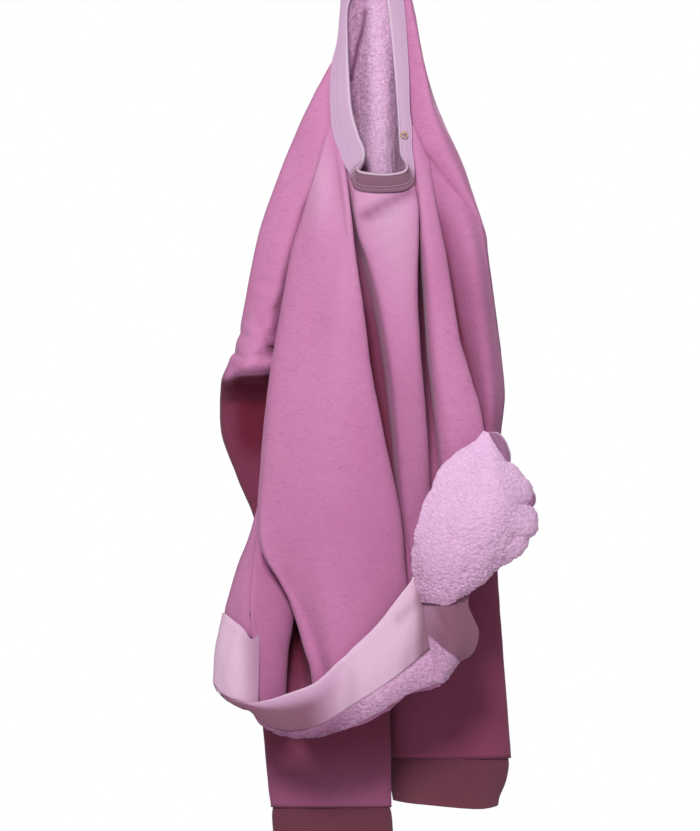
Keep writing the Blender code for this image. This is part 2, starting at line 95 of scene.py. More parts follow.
# Fold lines in mm, as (x, y, z), each from its top to its bottom where nothing else is said.
# A cloth's lines follow each other across or round it in the order given here.
FRONT = {
    "side_seam": [(-68.2, 4, -301.4), (-75.9, 8, -367.4), (-88, 8, -455.4), (-103.4, 5, -554.4),
        (-122.1, -2, -625.9), (-127.6, -18, -669.9), (-129.8, -29, -710.6), (-125.4, -33, -738.1)],
    "side_fold": [(-68.2, 1, -303.6), (-73.7, 4, -367.4), (-85.8, 5, -455.4), (-97.9, 3, -554.4),
        (-115.5, -6, -631.4), (-114.4, -28, -686.4), (-116.6, -37, -730.4), (-118.8, -39, -774.4),
        (-117.7, -40, -808.5)],
    "side_fold_edge": [(-67.1, -2, -303.6), (-71.5, 0, -367.4), (-82.5, 1, -455.4),
        (-92.4, 0, -554.4),
        (-110, -6, -631.4), (-97.9, -20, -672.1), (-91.3, -26, -688.6), (-84.7, -28, -704),
        (-86.9, -29, -727.1), (-90.2, -29, -746.9), (-92.4, -29, -766.7), (-94.6, -29, -807.4)],
    "side_back": [(-66.6, -3, -303.6), (-71, -1, -367.4), (-81.4, 0, -455.4), (-91.3, -1, -554.4),
        (-108.9, -2, -631.4), (-99, -8, -672.1), (-93.5, -8, -688.6), (-86.9, -8, -704),
        (-89.1, -8, -727.1), (-92.4, -8, -746.9), (-94.6, -8, -766.7), (-95.7, -10, -807.4)],
    "left_gap": [(-66, -6, -301.4), (-68.2, -4, -367.4), (-78.1, -4, -455.4), (-85.8, -4, -554.4),
        (-97.9, 2, -631.4), (-93.5, 6, -672.1), (-85.8, 8, -688.6), (-78.1, 8, -710.6),
        (-74.8, 6, -741.4), (-71.5, -2, -796.4), (-71.5, -10, -827.2)],
    "left_tuck": [(-69, -12, -275), (-79.2, -14, -312.4), (-89.1, -18, -367.4),
        (-103.4, -20, -455.4),
        (-113.3, -18, -554.4), (-115.5, -22, -631.4), (-90.2, -22, -678.7), (-80.3, -20, -697.4),
        (-71.5, -20, -727.1), (-64.9, -20, -750.2), (-58.3, -22, -772.2), (-56.1, -24, -796.4),
        (-58.3, -30, -833.8)],
    "left_edge": [(-69.3, -15, -272.8), (-80.3, -20, -312.4), (-90.2, -27, -367.4),
        (-104.5, -32, -455.4), (-114.4, -33, -554.4), (-116.6, -42, -631.4), (-92.4, -48, -678.7),
        (-83.6, -51, -695.2), (-73.7, -53, -724.9), (-67.1, -54, -749.1), (-60.5, -55, -771.1),
        (-58.3, -55, -796.4), (-59.4, -50, -836)],
    "left_turn": [(-62.7, -19, -244.2), (-69.3, -27, -301.4), (-79.2, -36, -367.4),
        (-92.4, -42, -455.4),
        (-102.3, -44, -554.4), (-103.4, -48, -631.4), (-83.6, -53, -678.7), (-68.2, -56, -708.4),
        (-55, -58, -746.9), (-47.3, -60, -776.6), (-48.4, -59, -807.4), (-47.3, -54, -839.3)],
    "broad_fold": [(-53.9, -19, -211.2), (-51.7, -34, -273.9), (-50.6, -46, -345.4),
        (-50.6, -60, -455.4), (-50.6, -68, -565.4), (-50.6, -72, -653.4), (-37.4, -74, -741.4),
        (-28.6, -72, -796.4), (-24.2, -64, -831.6)],
    "neck_corner": [(-40.7, -12, -168.3), (-34.1, -27, -229.9), (-29.7, -46, -301.4),
        (-27.5, -60, -378.4), (-20.9, -67, -477.4), (-12.1, -71, -565.4), (-5.5, -73, -642.4),
        (2.2, -73, -708.4), (2.2, -69, -774.4), (-2.2, -61, -825)],
    "broad_fold_edge": [(-28.6, -24, -207.9), (-23.1, -42, -257.4), (-19.8, -49, -290.4),
        (-16.5, -52, -321.2), (-9.9, -56, -367.4), (-5.5, -57, -400.4), (-1.7, -58, -433.4),
        (2.8, -59, -460.9), (8.8, -60, -490.6), (14.3, -61, -521.4), (20.9, -62, -554.4),
        (30.8, -62, -609.4), (35.2, -62, -653.4), (38.5, -62, -697.4), (30.8, -60, -763.4),
        (17.6, -56, -814)],
    "fold_back": [(-28.6, -22, -207.9), (-24.2, -30, -257.4), (-21.5, -34, -290.4),
        (-18.7, -34, -321.2),
        (-12.1, -34, -367.4), (-7.7, -34, -400.4), (-4.4, -34, -433.4), (0, -34, -460.9),
        (6.1, -36, -490.6), (12.1, -38, -521.4), (18.7, -40, -554.4), (29.7, -46, -609.4),
        (35.8, -52, -653.4), (40.2, -55, -697.4), (33, -54, -763.4), (22, -50, -812.9)],
    "left_wall": [(-26.4, -23, -213.4), (-20.9, -20, -259.6), (-17.6, -14, -292.6),
        (-14.3, -12, -323.4),
        (-7.7, -12, -369.6), (-3.3, -12, -402.6), (0.6, -12, -435.6), (5, -12, -463.1),
        (11, -14, -492.8), (16.5, -18, -523.6), (23.1, -24, -556.6), (33, -36, -611.6),
        (39.6, -46, -653.4), (45.1, -52, -697.4), (37.4, -48, -763.4), (27.5, -44, -807.4)],
    "middle_wall": [(-19.8, -28, -228.8), (-16, -24, -264), (-12.1, -16, -292.6),
        (-5.5, -14, -323.4),
        (5.5, -14, -369.6), (11.6, -14, -402.6), (16.5, -14, -435.6), (20.4, -14, -463.1),
        (24.2, -16, -492.8), (27.5, -20, -523.6), (30.3, -26, -556.6), (36.3, -38, -611.6),
        (44, -48, -653.4), (50.6, -53, -697.4), (44, -46, -763.4), (35.2, -40, -801.9)],
    "centre_fold_left": [(-13.2, -33, -240.9), (-13.2, -38, -264), (-9.4, -34, -290.4),
        (-1.1, -32, -319), (11, -32, -367.4), (17.1, -32, -400.4), (22, -32, -433.4),
        (25.3, -32, -460.9), (28.6, -33, -490.6), (31.9, -34, -521.4), (34.7, -36, -554.4),
        (40.7, -42, -611.6), (47.3, -48, -653.4), (53.9, -54, -697.4), (48.4, -46, -757.9),
        (40.7, -40, -796.4)],
    "centre_crest_left": [(-7.7, -35.5, -238.7), (-6.6, -46, -264), (-2.2, -46, -295.9),
        (6.6, -46, -323.4), (17.6, -46, -367.4), (23.1, -46, -400.4), (28.1, -46, -433.4),
        (31.9, -46, -466.4), (35.2, -46, -499.4), (38, -46, -532.4), (41.8, -46, -576.4),
        (47.3, -48, -620.4), (52.8, -52, -664.4), (58.3, -54, -702.9), (52.8, -46, -757.9),
        (46.2, -40, -794.2)],
    "centre_crest_right": [(42.9, -34, -236.5), (46.2, -45, -264), (46.2, -46, -295.9),
        (45.1, -46, -325.6), (45.1, -46, -367.4), (47.3, -46, -400.4), (49.5, -46, -433.4),
        (51.7, -46, -466.4), (53.9, -46, -499.4), (56.1, -46, -532.4), (58.3, -46, -576.4),
        (61.6, -47, -620.4), (64.9, -50, -664.4), (69.3, -52, -702.9), (66, -44, -757.9),
        (57.2, -38, -792)],
    "centre_fold_right": [(47.3, -32, -236.5), (53.9, -38, -264), (54.5, -38, -292.6),
        (53.4, -38, -325.6), (52.3, -38, -367.4), (53.9, -38, -400.4), (56.1, -38, -433.4),
        (58.9, -38, -466.4), (61.1, -39, -499.4), (62.7, -40, -532.4), (64.9, -42, -576.4),
        (68.2, -44, -620.4), (71.5, -46, -664.4), (75.9, -48, -702.9), (73.7, -42, -757.9),
        (64.9, -36, -790.9)],
    "centre_back": [(48.4, -30, -237.6), (53.9, -30, -264), (53.4, -24, -292.6),
        (51.7, -20, -325.6),
        (50.6, -20, -367.4), (52.3, -20, -400.4), (54.5, -20, -433.4), (57.2, -21, -466.4),
        (60, -24, -499.4), (62.2, -28, -532.4), (66, -34, -576.4), (70.4, -38, -620.4),
        (74.8, -42, -664.4), (79.2, -44, -702.9), (78.1, -38, -757.9), (69.3, -33, -789.8)],
    "right_wall": [(48.4, -28, -233.2), (54.8, -26, -264), (55.6, -14, -292.6), (55.6, -4, -325.6),
        (55, 0, -367.4), (56.7, 0, -400.4), (58.9, 0, -433.4), (61.6, -2, -466.4),
        (64.9, -8, -499.4),
        (68.2, -16, -532.4), (72.6, -26, -576.4), (75.9, -34, -620.4), (79.2, -38, -664.4),
        (83.6, -40, -702.9), (82.5, -35, -757.9), (74.8, -30, -787.6)],
    "right_valley": [(48.4, -26, -226.6), (55.2, -26, -264), (56.7, -16, -292.6),
        (59.4, -4, -325.6),
        (62.7, 0, -367.4), (64.9, 0, -400.4), (67.1, 0, -433.4), (71, -2, -466.4),
        (74.8, -8, -499.4),
        (78.7, -16, -532.4), (81.4, -26, -576.4), (82.5, -33, -620.4), (84.7, -36, -664.4),
        (88, -37, -702.9), (85.8, -32, -757.9), (79.2, -27, -785.4)],
    "narrow_fold_left": [(48.4, -20, -202.4), (56.8, -30, -264), (59.4, -32, -301.4),
        (63.3, -32, -336.6), (66.6, -32, -369.6), (68.8, -32, -402.6), (71, -32, -435.6),
        (74.8, -32, -468.6), (79.2, -33, -501.6), (83.6, -34, -532.4), (88, -34, -576.4),
        (90.2, -34, -620.4), (91.3, -34, -664.4), (92.4, -33, -708.4), (89.1, -28, -763.4)],
    "narrow_fold": [(49, -14, -173.8), (60.5, -34, -257.4), (66, -40, -301.4), (71.5, -42, -345.4),
        (77, -43, -389.4), (81.4, -44, -433.4), (89.1, -44, -477.4), (96.8, -42, -521.4),
        (103.4, -38, -576.4), (104.5, -34, -642.4), (99, -30, -708.4), (93.5, -25, -765.6)],
    "narrow_fold_edge": [(62.7, -16, -203.5), (69.9, -27, -246.4), (75.9, -32, -279.4),
        (82.5, -34, -312.4), (86.9, -35, -339.9), (91.3, -36, -367.4), (94.6, -36, -389.4),
        (98.5, -36, -413.6), (105.6, -36, -438.9), (112.2, -36, -460.9), (117.7, -35, -477.4),
        (122.1, -34, -499.4), (125.4, -31, -532.4), (124.3, -28, -587.4), (115.5, -24, -653.4),
        (101.2, -20, -708.4), (97.9, -18, -752.4)],
    "narrow_back": [(67.1, -15, -210.1), (71, -19, -246.4), (75.9, -20, -279.4),
        (81.4, -20, -312.4),
        (85.8, -20, -339.9), (89.7, -20, -367.4), (93, -20, -389.4), (96.8, -20, -413.6),
        (104, -20, -438.9), (110.6, -20, -460.9), (116.6, -20, -477.4), (121.6, -20, -499.4),
        (126.5, -20, -532.4), (127.6, -19, -587.4), (117.7, -16, -653.4), (103.4, -14, -697.4),
        (99, -14, -735.9)],
    "side_valley": [(78.1, -14, -223.3), (81.4, -16, -257.4), (85.8, -13, -290.4),
        (91.3, -11, -325.6),
        (95.7, -10, -361.9), (101.2, -10, -394.9), (107.8, -10, -422.4), (114.4, -10, -446.6),
        (119.9, -11, -471.9), (124.3, -13, -493.9), (129.8, -14, -532.4), (130.9, -14, -587.4),
        (125.4, -12, -636.9), (110, -10, -673.2), (102.3, -10, -699.6)],
    "side_bulge": [(102.3, -12, -251.9), (113.3, -20, -306.9), (122.1, -25, -367.4),
        (129.8, -27, -422.4), (134.2, -26, -466.4), (135.3, -22, -493.9), (135.3, -16, -532.4),
        (134.2, -12, -587.4), (128.7, -9, -631.4), (112.2, -7, -666.6), (103.4, -5, -688.6)],
    "right_side": [(126.5, -3, -288.2), (136.4, 0, -356.4), (145.2, 0, -422.4), (149.6, 0, -471.9),
        (145.2, 2, -510.4), (138.6, 4, -576.4), (135.3, 4, -614.9), (127.6, 4, -647.9),
        (112.2, 4, -671),
        (103.4, 4, -686.4)]}
BACK = {
    "right_back": [(121, 17, -314.6), (129.8, 22, -367.4), (136.4, 24, -433.4), (134.2, 24, -510.4),
        (125.4, 24, -598.4), (107.8, 24, -644.6), (88, 24, -682)],
    "right_blade": [(70.4, 22, -174.9), (82.5, 27, -268.4), (92.4, 30, -367.4), (96.8, 31, -499.4),
        (94.6, 31, -631.4), (96.8, 30, -715)],
    "right_neck": [(33, 5, -68.2), (40.7, 18, -147.4), (51.7, 28, -279.4), (57.2, 32, -433.4),
        (57.2, 32, -609.4), (55, 31, -739.2)],
    "centre_back": [(0, 2.6, 13.2), (4.4, 6, -37.4), (11, 10, -103.4), (15.4, 14, -224.4),
        (13.2, 28, -367.4), (8.8, 32, -532.4), (4.4, 32, -653.4), (2.2, 31, -744.7)],
    "left_neck": [(-28.6, 4, -68.2), (-19.8, 18, -147.4), (-27.5, 28, -279.4), (-39.6, 32, -433.4),
        (-47.3, 32, -609.4), (-50.6, 31, -744.7)],
    "left_blade": [(-47.3, 18, -167.2), (-55, 23, -246.4), (-71.5, 28, -389.4), (-85.8, 29, -521.4),
        (-96.8, 28, -653.4), (-107.8, 26, -741.4)],
    "left_back": [(-67.1, 18, -281.6), (-75.9, 22, -367.4), (-90.2, 24, -455.4),
        (-105.6, 22, -554.4),
        (-118.8, 16, -620.4), (-133.1, 12, -675.4), (-143, 10, -730.4)],
    "left_side": [(-68.2, 10, -299.2), (-79.2, 14, -367.4), (-91.3, 14, -455.4), (-110, 10, -554.4),
        (-125.4, 2, -618.2), (-143, -6, -664.4), (-157.3, -10, -712.8)]}
FLAP = {
    "fold_in": [(127.6, -31, -512.6), (115.5, -45, -524.7), (102.3, -55, -533.5),
        (80.3, -62, -551.1),
        (71.5, -68, -569.8), (60.5, -71, -590.7), (52.8, -74, -624.8), (49, -76, -655.6),
        (56.1, -76, -695.2)],
    "left_crest": [(130.9, -33, -513.7), (113.3, -74, -554.4), (96.8, -86, -587.4),
        (82.5, -91, -622.6),
        (72.6, -92, -655.6), (69.3, -86, -699.6)],
    "middle": [(134.2, -33, -514.8), (133.1, -82, -554.4), (123.2, -96, -590.7), (110, -99, -624.8),
        (97.9, -97, -655.6), (88, -88, -697.4)],
    "right_crest": [(137.5, -31, -515.9), (148.5, -72, -554.4), (151.8, -89, -590.7),
        (143, -92, -620.4),
        (127.6, -90, -651.2), (104.5, -83, -687.5)],
    "right_edge": [(137.5, -26, -518.1), (145.2, -44, -534.6), (150.7, -50, -546.7),
        (157.3, -52, -550),
        (165, -55, -561), (172.7, -58, -572), (174.9, -59, -583), (170.5, -60, -594),
        (179.3, -62, -602.8), (181.5, -64, -618.2), (173.8, -66, -625.9), (169.4, -68, -638),
        (158.4, -70, -649), (143, -72, -657.8), (118.8, -74, -674.3)],
    "turned_under": [(139.7, -18, -520.3), (147.4, -30, -545.6), (158.4, -38, -567.6),
        (165, -44, -591.8), (166.1, -50, -613.8), (156.2, -54, -633.6), (140.8, -58, -651.2),
        (114.4, -62, -673.2)]}
HEM_RIGHT = {
    "left": [(48.4, -64, -671), (50.6, -67, -695.2), (52.8, -70, -717.2), (59.4, -70, -741.4),
        (64.9, -67, -763.4), (67.1, -62, -785.4)],
    "middle": [(77, -80, -668.8), (81.4, -86, -693), (85.8, -88, -719.4), (89.1, -84, -741.4),
        (85.8, -80, -761.2), (75.9, -72, -784.3)],
    "right": [(103.4, -70, -668.8), (108.9, -76, -686.4), (107.8, -76, -701.8),
        (113.9, -74, -717.2),
        (119.9, -72, -732.6), (113.3, -68, -752.4), (96.8, -68, -762.3), (89.1, -67, -772.2),
        (80.3, -64, -783.2)]}
# These run along the band from left to right, from its upper rim to the fleece tucked under.
HEM_FRONT = {
    "rim": [(-167.8, -15, -788.7), (-160.6, -27, -799.7), (-147.4, -37, -806.9),
        (-130.9, -46, -811.3),
        (-105.6, -58, -806.3), (-84.7, -68, -798.6), (-64.9, -76, -790.9), (-51.7, -80, -782.7),
        (-30.8, -83, -762.3), (7.7, -84, -726), (29.7, -82, -698.5), (44, -79, -678.7),
        (48.4, -73, -668.8)],
    "middle": [(-167.2, -14, -790.4), (-159.5, -28, -801.9), (-145.2, -39, -809.6),
        (-128.7, -49, -814.6), (-107.8, -61, -820.6), (-85.8, -72, -821.7), (-52.8, -85, -812.9),
        (-17.6, -90, -786.5), (12.1, -91, -760.1), (37.4, -90, -734.8), (50.6, -85, -711.7),
        (57.2, -76, -697.4)],
    "seam": [(-166.7, -13, -792), (-157.3, -28, -803.6), (-141.9, -39, -811.8),
        (-126.5, -48, -817.3),
        (-112.2, -57, -830.5), (-88, -69, -836.6), (-53.9, -82, -830.5), (-15.4, -88, -806.3),
        (15.4, -89, -786.5), (39.6, -88, -767.8), (58.3, -82, -751.3), (68.2, -72, -741.4)],
    "fold": [(-165.6, -12, -793.1), (-155.1, -26, -804.7), (-138.6, -36, -813.5),
        (-124.3, -43, -819.5),
        (-112.2, -51, -834.9), (-88, -60, -843.7), (-57.2, -72, -843.2), (-22, -77, -832.2),
        (13.2, -78, -812.9), (44, -77, -794.2), (68.2, -72, -784.3), (82.5, -66, -778.8)],
    "tuck": [(-165, -10, -792), (-154, -22, -803), (-136.4, -31, -811.8), (-122.1, -35, -817.3),
        (-110, -41, -828.3), (-85.8, -46, -838.2), (-59.4, -54, -838.2), (-24.2, -66, -827.2),
        (15.4, -62, -808.5), (46.2, -56, -792), (68.2, -54, -782.1), (82.5, -52, -777.7)]}
HEM_BACK = {
    "right": [(95.7, 30, -718.3), (92.4, 30, -746.9), (88, 29, -774.4)],
    "right_neck": [(55, 31, -741.4), (55, 31, -772.2), (55, 30, -798.6)],
    "centre": [(2.2, 31, -745.8), (2.2, 31, -776.6), (2.2, 30, -805.2)],
    "left_neck": [(-50.6, 31, -745.8), (-50.6, 31, -776.6), (-50.6, 30, -805.2)],
    "left_blade": [(-107.8, 26, -742.5), (-110, 26, -772.2), (-110, 25, -803)],
    "left_back": [(-143, 10, -731.5), (-148.5, 8, -765.6), (-149.6, 7, -798.6)],
    "side": [(-157.3, -10, -712.8), (-165, -14, -752.4), (-168.3, -13, -787.6)],
    "front_side": [(-145.2, -25, -722.7), (-152.9, -30, -763.4), (-158.4, -27, -800.8)],
    "front_end": [(-136.4, -30, -730.4), (-138.6, -36, -768.9), (-139.7, -38, -808.5)],
    "front_turn": [(-127.6, -35, -740.3), (-127.6, -40, -772.2), (-128.7, -43, -811.3)],
    "front_tip": [(-118.8, -37, -734.8), (-118.8, -42, -766.7), (-119.9, -45, -809.6)]}
# These run round the opening, from its top down the left side and back up the right.
NECK = {
    "seam_edge": [(0, 0, 24.2), (-19.8, 0, 13.2), (-28.6, -1, -15.4), (-30.8, -2, -46.2),
        (-34.1, -4, -81.4), (-40.7, -6, -111.1), (-41.8, -12, -155.1), (-38.5, -18, -184.8),
        (-29.7, -26, -210.1), (-19.8, -34, -231), (-12.1, -42, -246.4), (3.3, -45, -249.7),
        (22, -45, -249.7), (39.6, -43, -247.5), (49.5, -38, -239.8), (50.6, -30, -218.9),
        (48.4, -24, -199.1), (48.4, -19, -177.1), (46.2, -15, -155.1), (45.1, -10, -111.1),
        (40.7, -5, -46.2), (34.1, -2, -15.4), (20.9, 0, 13.2)],
    "free_edge": [(0, 0, 0), (-8.8, 0, -4.4), (-14.3, -1, -20.9), (-22, -3, -46.2),
        (-22, -6, -81.4),
        (-20.9, -9, -111.1), (-17.6, -14, -155.1), (-9.9, -20, -184.8), (-3.3, -26, -202.4),
        (-4.4, -33, -215.6), (-9.9, -42, -224.4), (3.3, -46, -227.7), (22, -46, -228.8),
        (38.5, -43, -225.5), (40.7, -36, -218.9), (35.2, -29, -207.9), (34.1, -25, -195.8),
        (33, -20, -174.9), (31.9, -16, -155.1), (28.6, -11, -111.1), (22, -6, -46.2),
        (15.4, -2, -20.9),
        (8.8, 0, -4.4)]}
# The two rolled edges of the turned-out corner.
ROLL = {
    "outer": [(132.6, -33, -512.6), (143, -40, -513.2), (150.2, -45, -520.3), (155.1, -48, -531.3),
        (156.8, -49, -541.2), (155.1, -49, -552.2)],
    "crest": [(133.1, -36, -514.2), (140.8, -47, -517.6), (146.9, -53, -525.2),
        (150.7, -55, -535.7),
        (152.4, -55, -544.5), (152.9, -53, -554.4)],
    "inner": [(133.7, -37, -517), (138.1, -45, -522.5), (143, -50, -531.3), (146.3, -52, -540.1),
        (149.1, -52, -547.8), (150.7, -50, -555.5)],
    "under": [(133.7, -32, -518.1), (136.4, -36, -524.7), (140.8, -38, -532.4),
        (144.7, -40, -541.2),
        (147.4, -41, -548.9), (149.6, -42, -556.6)]}
CURL = {
    "outer": [(174.9, -56, -573.1), (180.4, -58, -576.4), (183.7, -59, -583), (183.2, -59, -590.7),
        (178.2, -58, -597.3)],
    "crest": [(173.2, -59, -574.8), (177.7, -63, -578.1), (179.9, -64.5, -584.1),
        (179.3, -64, -590.7),
        (176, -61, -597.3)],
    "inner": [(171.6, -57, -576.4), (174.4, -60, -579.7), (176, -61, -585.2), (175.5, -61, -590.7),
        (173.8, -59, -596.2)]}
LEFT_SLEEVE = {
    "outer": [(-37.4, 2, -105.6), (-58.3, 0, -144.1), (-74.8, 0, -177.1), (-91.3, 0, -215.6),
        (-107.8, 0, -259.6), (-121, 0, -303.6), (-133.1, 0, -369.6), (-143, 0, -420.2),
        (-148.5, -1, -431.2), (-153.5, -2, -443.3), (-157.3, 0, -451), (-159.5, 8, -456.5),
        (-160.6, 20, -463.1), (-161.7, 34, -473), (-162.2, 46, -486.2), (-161.7, 53, -504.9),
        (-157.3, 53, -524.7), (-140.8, 53, -567.6), (-122.1, 53, -620.4), (-116.6, 53, -697.4),
        (-116.6, 53, -807.4), (-113.3, 53, -856.9), (-108.9, 53, -906.4), (-105.6, 53, -929.5)],
    "front": [(-38.5, -1, -116.6), (-47.3, -6, -156.2), (-59.4, -13, -202.4), (-77, -14, -257.4),
        (-93.5, -15, -312.4), (-108.9, -18, -378.4), (-116.6, -19, -405.9), (-123.2, -25, -422.4),
        (-129.8, -28, -434.5), (-134.2, -26, -441.1), (-137.5, -16, -445.5), (-137.5, 0, -447.7),
        (-138.6, 16, -454.3), (-140.8, 28, -468.6), (-140.8, 36, -482.9), (-143, 40, -521.4),
        (-123.2, 40, -576.4), (-101.2, 40, -631.4), (-92.4, 40, -719.4), (-91.3, 40, -807.4),
        (-89.1, 40, -873.4), (-83.6, 40, -929.5)],
    "front_seam": [(-36.3, 2, -123.2), (-37.4, -3, -158.4), (-34.1, -9, -191.4),
        (-35.2, -15, -215.6),
        (-50.6, -14, -239.8), (-70.4, -3, -275), (-91.3, -2, -356.4), (-100.1, -3, -411.4),
        (-102.3, 2, -420.2), (-103.4, -6, -429), (-104.5, -12, -436.7), (-105.6, -10, -443.3),
        (-105.6, 4, -448.8), (-101.2, 16, -458.7), (-85.8, 28, -470.8), (-61.6, 38, -490.6),
        (-44, 40, -521.4), (-25.3, 40, -620.4), (-6.6, 40, -719.4), (-2.2, 40, -807.4),
        (-1.1, 40, -873.4), (0, 40, -929.5)],
    "underarm": [(-33, 4, -136.4), (-37.4, 4, -202.4), (-52.8, 4, -262.9), (-71.5, 4, -286),
        (-84.7, 4, -312.4), (-93.5, 3, -367.4), (-102.3, 4, -416.9), (-103.4, 8, -427.9),
        (-101.2, 13, -440), (-92.4, 24, -453.2), (-55, 38, -466.4), (-28.6, 50, -481.8),
        (-24.2, 50, -521.4), (0, 50, -620.4), (19.8, 50, -719.4), (22, 50, -807.4),
        (23.1, 50, -873.4),
        (24.2, 50, -929.5)],
    "back_seam": [(-29.7, 7, -114.4), (-37.4, 11.5, -169.4), (-52.8, 13.1, -240.9),
        (-71.5, 12, -288.2),
        (-91.3, 12, -356.4), (-102.3, 14, -413.6), (-96.8, 28, -418), (-74.8, 48, -424.6),
        (-52.8, 64, -448.8), (-44, 66, -521.4), (-25.3, 67, -620.4), (-6.6, 68, -719.4),
        (-2.2, 68, -807.4), (-1.1, 67, -873.4), (0, 66, -929.5)],
    "back_outer": [(-33, 6, -110), (-50.6, 11, -156.2), (-66, 13, -193.6), (-85.8, 16, -246.4),
        (-101.2, 16, -301.4), (-116.6, 15, -367.4), (-126.5, 16, -415.8), (-134.2, 30, -422.4),
        (-140.8, 50, -435.6), (-143, 62, -459.8), (-143, 66, -521.4), (-123.2, 67, -576.4),
        (-101.2, 68, -631.4), (-92.4, 68, -719.4), (-91.3, 68, -807.4), (-89.1, 67, -873.4),
        (-83.6, 66, -929.5)]}
RIGHT_SLEEVE = {
    "front_seam": [(37.4, 1, -22), (40.5, -0.5, -48.4), (44.6, -3.6, -111.1), (47.2, -6.6, -155.1),
        (50.8, -9.5, -178.2), (58.3, -11, -199.1), (68.2, -10, -210.1), (83.6, -9, -229.9),
        (105.6, -6, -261.8), (122.1, -2, -283.8), (122.1, 14, -301.4), (112.2, 36, -325.6),
        (92.4, 47, -367.4), (61.6, 48, -499.4), (52.8, 48, -587.4), (48.4, 48, -675.4),
        (48.4, 48, -785.4), (52.8, 48, -875.6)],
    "front": [(40.7, 0, -20.9), (48.4, -6, -55), (61.6, -12, -116.6), (71.5, -16, -163.9),
        (86.9, -17, -202.4), (103.4, -16, -238.7), (117.7, -10, -266.2), (127.6, 2, -290.4),
        (129.8, 20, -308), (125.4, 40, -332.2), (121, 46, -378.4), (118.8, 48, -499.4),
        (119.9, 48, -587.4), (121, 48, -675.4), (123.2, 48, -785.4), (129.8, 48, -875.6)],
    "outer": [(41.8, 3, -20.9), (50.6, 2, -52.8), (63.8, 2, -125.4), (80.3, 2, -169.4),
        (101.2, 2, -213.4), (116.6, 5, -257.4), (126.5, 14, -288.2), (130.9, 26, -312.4),
        (134.2, 48, -345.4), (136.4, 58, -400.4), (138.6, 62, -499.4), (140.8, 64, -587.4),
        (143, 64, -675.4), (147.4, 64, -730.4), (150.7, 64, -785.4), (154, 64, -829.4),
        (156.2, 64, -860.2), (157.3, 64, -875.6)],
    "back_outer": [(40.7, 6, -22), (48.4, 8, -52.8), (66, 14, -125.4), (82.5, 18, -174.9),
        (99, 22, -218.9), (115.5, 26, -262.9), (124.3, 36, -299.2), (125.4, 56, -325.6),
        (121, 70, -378.4), (119.9, 80, -499.4), (119.9, 81, -587.4), (121, 82, -675.4),
        (123.2, 82, -785.4), (129.8, 81, -875.6)],
    "back_seam": [(39.6, 6, -23.1), (44, 8, -59.4), (53.9, 15, -114.4), (68.2, 19, -158.4),
        (80.3, 22, -191.4), (101.2, 24, -239.8), (116.6, 28, -279.4), (110, 46, -308),
        (96.8, 64, -341),
        (79.2, 74, -389.4), (63.8, 80, -499.4), (52.8, 81, -587.4), (48.4, 82, -675.4),
        (48.4, 82, -785.4), (52.8, 81, -875.6)],
    "underarm": [(38.5, 3, -23.1), (39.6, 3, -70.4), (47.3, 5, -125.4), (55, 8, -169.4),
        (68.2, 10, -202.4), (90.2, 12, -246.4), (114.4, 16, -281.6), (107.8, 36, -314.6),
        (79.2, 56, -367.4), (55, 62, -433.4), (44, 66, -499.4), (31.9, 68, -587.4),
        (25.3, 68, -675.4),
        (24.2, 68, -785.4), (26.4, 68, -875.6)]}
LEFT_CUFF = {
    "outer": [(-104.5, 53, -933.9), (-101.2, 53, -961.4), (-99, 53, -993.3)],
    "front_outer": [(-82.5, 40.5, -933.9), (-79.2, 42, -961.4), (-78.1, 43, -993.3)],
    "front_inner": [(-1.1, 40.5, -933.9), (0, 42, -961.4), (1.1, 43, -993.3)],
    "inner": [(23.1, 50, -933.9), (24.2, 50, -961.4), (25.3, 50, -993.3)],
    "back_inner": [(-1.1, 65.5, -933.9), (0, 64, -961.4), (1.1, 63, -993.3)],
    "back_outer": [(-82.5, 65.5, -933.9), (-79.2, 64, -961.4), (-78.1, 63, -993.3)]}
RIGHT_CUFF = {
    "inner": [(27.5, 68, -880), (28.6, 68, -900.9), (30.8, 68, -924)],
    "front_inner": [(53.9, 48.5, -880), (55, 49, -900.9), (57.2, 50, -927.3)],
    "front_outer": [(128.7, 48.5, -880), (125.4, 49, -906.4), (121, 50, -932.8)],
    "outer": [(156.2, 64, -880), (150.7, 64, -900.9), (144.1, 64, -917.4), (143, 64, -929.5)],
    "back_outer": [(128.7, 80.5, -880), (125.4, 80, -906.4), (121, 79, -932.8)],
    "back_inner": [(53.9, 80.5, -880), (55, 80, -900.9), (57.2, 79, -927.3)]}
